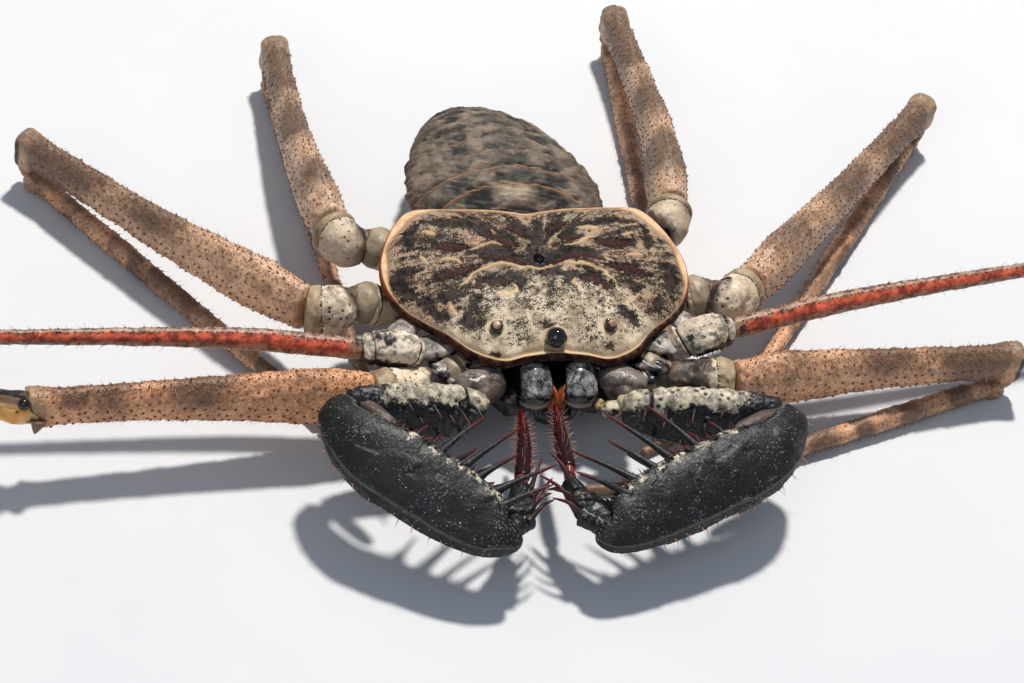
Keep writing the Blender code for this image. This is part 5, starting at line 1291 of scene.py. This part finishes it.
def paintClaw(wire):
    # Glossy dark wine red, brighter to the tip, with a pale orange joint
    base = wire.blend(wire.value("tone").band(0.4, 1.0), (38, 7, 10), (74, 11, 14)).coat("joint", (118, 52, 42))
    return wire.surface(base, 0.16 + wire.noise(1500) * 0.15, wire.noise(2200), 0.00003, 0.6)


# Jaws, each with its middle's x, the way inwards and its solid

jaws = {"jawRight": (-0.92, 1, "chelicera_right"), "jawLeft": (1.28, -1, "chelicera_left")}


def makeJaw(name, jaw, coat, patch):
    # A drooping block with a crackled face and a soft band, a curved fang and a brush of hairs between the jaws
    (middle, inward, node), skin, seed = jaw, Piece(name), sum(map(ord, name))
    tube = carry([(middle, -3.95, 3.6), (middle, -4.8, 3.8), (middle, -5.5, 3.25), (middle, -5.62, 2.4)],
                 [0.66, 0.84, 0.86, 0.66], [0.5, 0.64, 0.7, 0.45], 130, 80, ends=(0.1, 0.3))
    faced = step(tube.share, 0.2, 0.36) * step(tube.share, 0.72, 0.62) * step(tube.high, 0.25, 0.85)
    tube.lift(0.015 * (1 - cells(tube.grid, 0.2, seed)) * faced - 0.06 * tube.at(0.76, 0.02)
              + 0.05 * tube.at(0.68, 0.05))
    skin.addTube(tube, band=tube.at(0.79, 0.04) * step(tube.high, -0.1, 0.3), crackle=faced)
    addSpine(skin, (middle, -5.55, 2.75), (middle + inward * 0.35, -5.7, 1.55), 0.0, 0.4)
    for side in (-1, 1):
        addSpine(skin, (middle + side * 0.3, -5.75, 2.75), (middle + side * 0.25 + inward * 0.1, -6.0, 2.1),
                 0.0, 0.16)
    inner = (3.14, 2.8, 3.5, 3.94) if inward > 0 else (0.0, 0.35, -0.35, -0.8)
    gather(coat, tube, tube.rows(0.05, inner, seed, 1.4, 0.2), 0.75, 0.028, 1.4, seed + 1, patch, 0.7)
    skin.make(jawFinish, "chelicera", node)


def paintJaw(wire):
    # Glossy black with crackled grey-white faces and a brownish soft band
    cracks = wire.grains(3600, "DISTANCE_TO_EDGE").band(-0.1, 0.12)
    crackle = cracks * wire.noise(2300, 5, 0.85).band(0.38, 0.62)
    white = wire.mottle(1300, 4, 0.42, 0.6, (196, 194, 190), (122, 122, 122))
    base = wire.blend(crackle * wire.value("crackle").band(0.2, 0.8), (9, 9, 10), white)
    base = base.coat(wire.value("band").band(0.3, 0.8), (112, 96, 84))
    return wire.surface(base, 0.14 + wire.noise(1500) * 0.2, wire.noise(2200, 4), 0.00003, 0.8)


# Everything made, one stage after another

carapaceFinish = finish("carapaceFinish", paintCarapace, {"Specular IOR Level": 0.12})
eyeFinish = finish("eyeFinish", paintEyes, {"Coat Weight": 0.6, "Coat Roughness": 0.05})
hipFinish = finish("hipFinish", paintHips)
abdomenFinish = finish("abdomenFinish", paintAbdomen, {"Specular IOR Level": 0.35})
legFinish = finish("legFinish", paintLeg)
hairFinish = finish("hairFinish", paintHair, {"Roughness": 0.4})
whipFinish = finish("whipFinish", paintWhip, {"Specular IOR Level": 0.4})
armFinish = finish("armFinish", paintArm, {"Specular IOR Level": 0.4})
clawFinish = finish("clawFinish", paintClaw, {"Specular IOR Level": 0.3})
jawFinish = finish("jawFinish", paintJaw, {"Coat Weight": 0.4, "Coat Roughness": 0.1})
print("finishes are ready")

makeCarapace()
makeEyes()
makeBody()
makeAbdomen()
print("body is ready")

for coatName, slot, makeLimb, limbs in (
        ("legHairs", "leg", makeLeg, legJoints), ("whipHairs", "whip", makeWhip, whipJoints),
        ("armHairs", "claw", makeArm, armJoints), ("jawHairs", "claw", makeJaw, jaws)):
    coat, count = Piece(coatName), len(limbs)
    for number, (name, joints) in enumerate(limbs.items()):  # each limb's hairs have a strip of the map
        makeLimb(name, joints, coat, (0.02, 0.02 + 0.96 * number / count, 0.96, 0.9 / count))
    coat.make(hairFinish, slot)
print("limbs are ready")


# Floor, light and camera

stage = {"azimuth": -18.6, "elevation": 43.3, "roll": 11.9, "target": (-1.98, -3.76, 5.0), "distance": 220.0,
         "focal": 4685.0, "pixels": 1024, "sensor": 36, "floor": 1.2, "sky": 0.3,
         # place and size in millimetres, power in watts, colour
         "lamps": {"key": ((60, 130, 380), 36, 2.1, (1.0, 0.96, 0.9)),
                   "fill": ((-200, -300, 300), 300, 0.3, (0.9, 0.95, 1.0))}}


def makeFloor():
    # A plain pale sheet, one square at height 0
    half = stage["floor"] / 2
    mesh = bpy.data.meshes.new("floor")
    mesh.from_pydata([(-half, -half, 0), (half, -half, 0), (half, half, 0), (-half, half, 0)], [],
                     [(0, 1, 2, 3)])
    mesh.materials.append(finish("paper", lambda wire: wire.surface(
        wire.mottle(60, 3, 0.3, 0.7, (210, 211, 213), (207, 208, 211)), 0.85, wire.noise(2200), 0.00001, 0.3)))
    floor = bpy.data.objects.new("floor", mesh)
    bpy.context.scene.collection.objects.link(floor)


def makeLight():
    # A soft key from behind on the right, a weak fill from the front and an even pale sky
    world = bpy.data.worlds.new("studio")
    world.use_nodes = True
    world.node_tree.nodes["Background"].inputs["Color"].default_value = (0.74, 0.87, 1.06, 1)
    world.node_tree.nodes["Background"].inputs["Strength"].default_value = stage["sky"]
    bpy.context.scene.world = world
    bpy.context.scene.view_settings.view_transform = "Standard"
    for name, (place, width, power, tint) in stage["lamps"].items():
        lamp = bpy.data.lights.new(name, "AREA")
        lamp.shape, lamp.size, lamp.energy, lamp.color = "DISK", width * mm, power, tint
        holder = bpy.data.objects.new(name, lamp)
        holder.location = Vector(place) * mm
        holder.rotation_euler = (-holder.location).to_track_quat("-Z", "Y").to_euler()
        bpy.context.scene.collection.objects.link(holder)


def makeCamera():
    # Looks at the target from azimuth and elevation, rolled about its own axis
    azimuth, elevation, roll = np.radians([stage["azimuth"], stage["elevation"], stage["roll"]])
    back = np.array([np.sin(azimuth) * np.cos(elevation), -np.cos(azimuth) * np.cos(elevation),
                     np.sin(elevation)])
    right = unit(np.cross(-back, up))
    above = np.cross(right, -back)
    turned = np.column_stack([np.cos(roll) * right + np.sin(roll) * above,
                              -np.sin(roll) * right + np.cos(roll) * above, back])
    place = (np.array(stage["target"]) + offset + back * stage["distance"]) * mm
    lens = bpy.data.cameras.new("camera")
    lens.sensor_width, lens.clip_start = stage["sensor"], 0.01
    lens.lens = stage["sensor"] * stage["focal"] / stage["pixels"]
    camera = bpy.data.objects.new("camera", lens)
    camera.matrix_world = Matrix.Translation(Vector(place)) @ Matrix(turned.tolist()).to_4x4()
    bpy.context.scene.collection.objects.link(camera)
    bpy.context.scene.camera = camera


makeFloor()
makeLight()
makeCamera()
print("stage is ready")
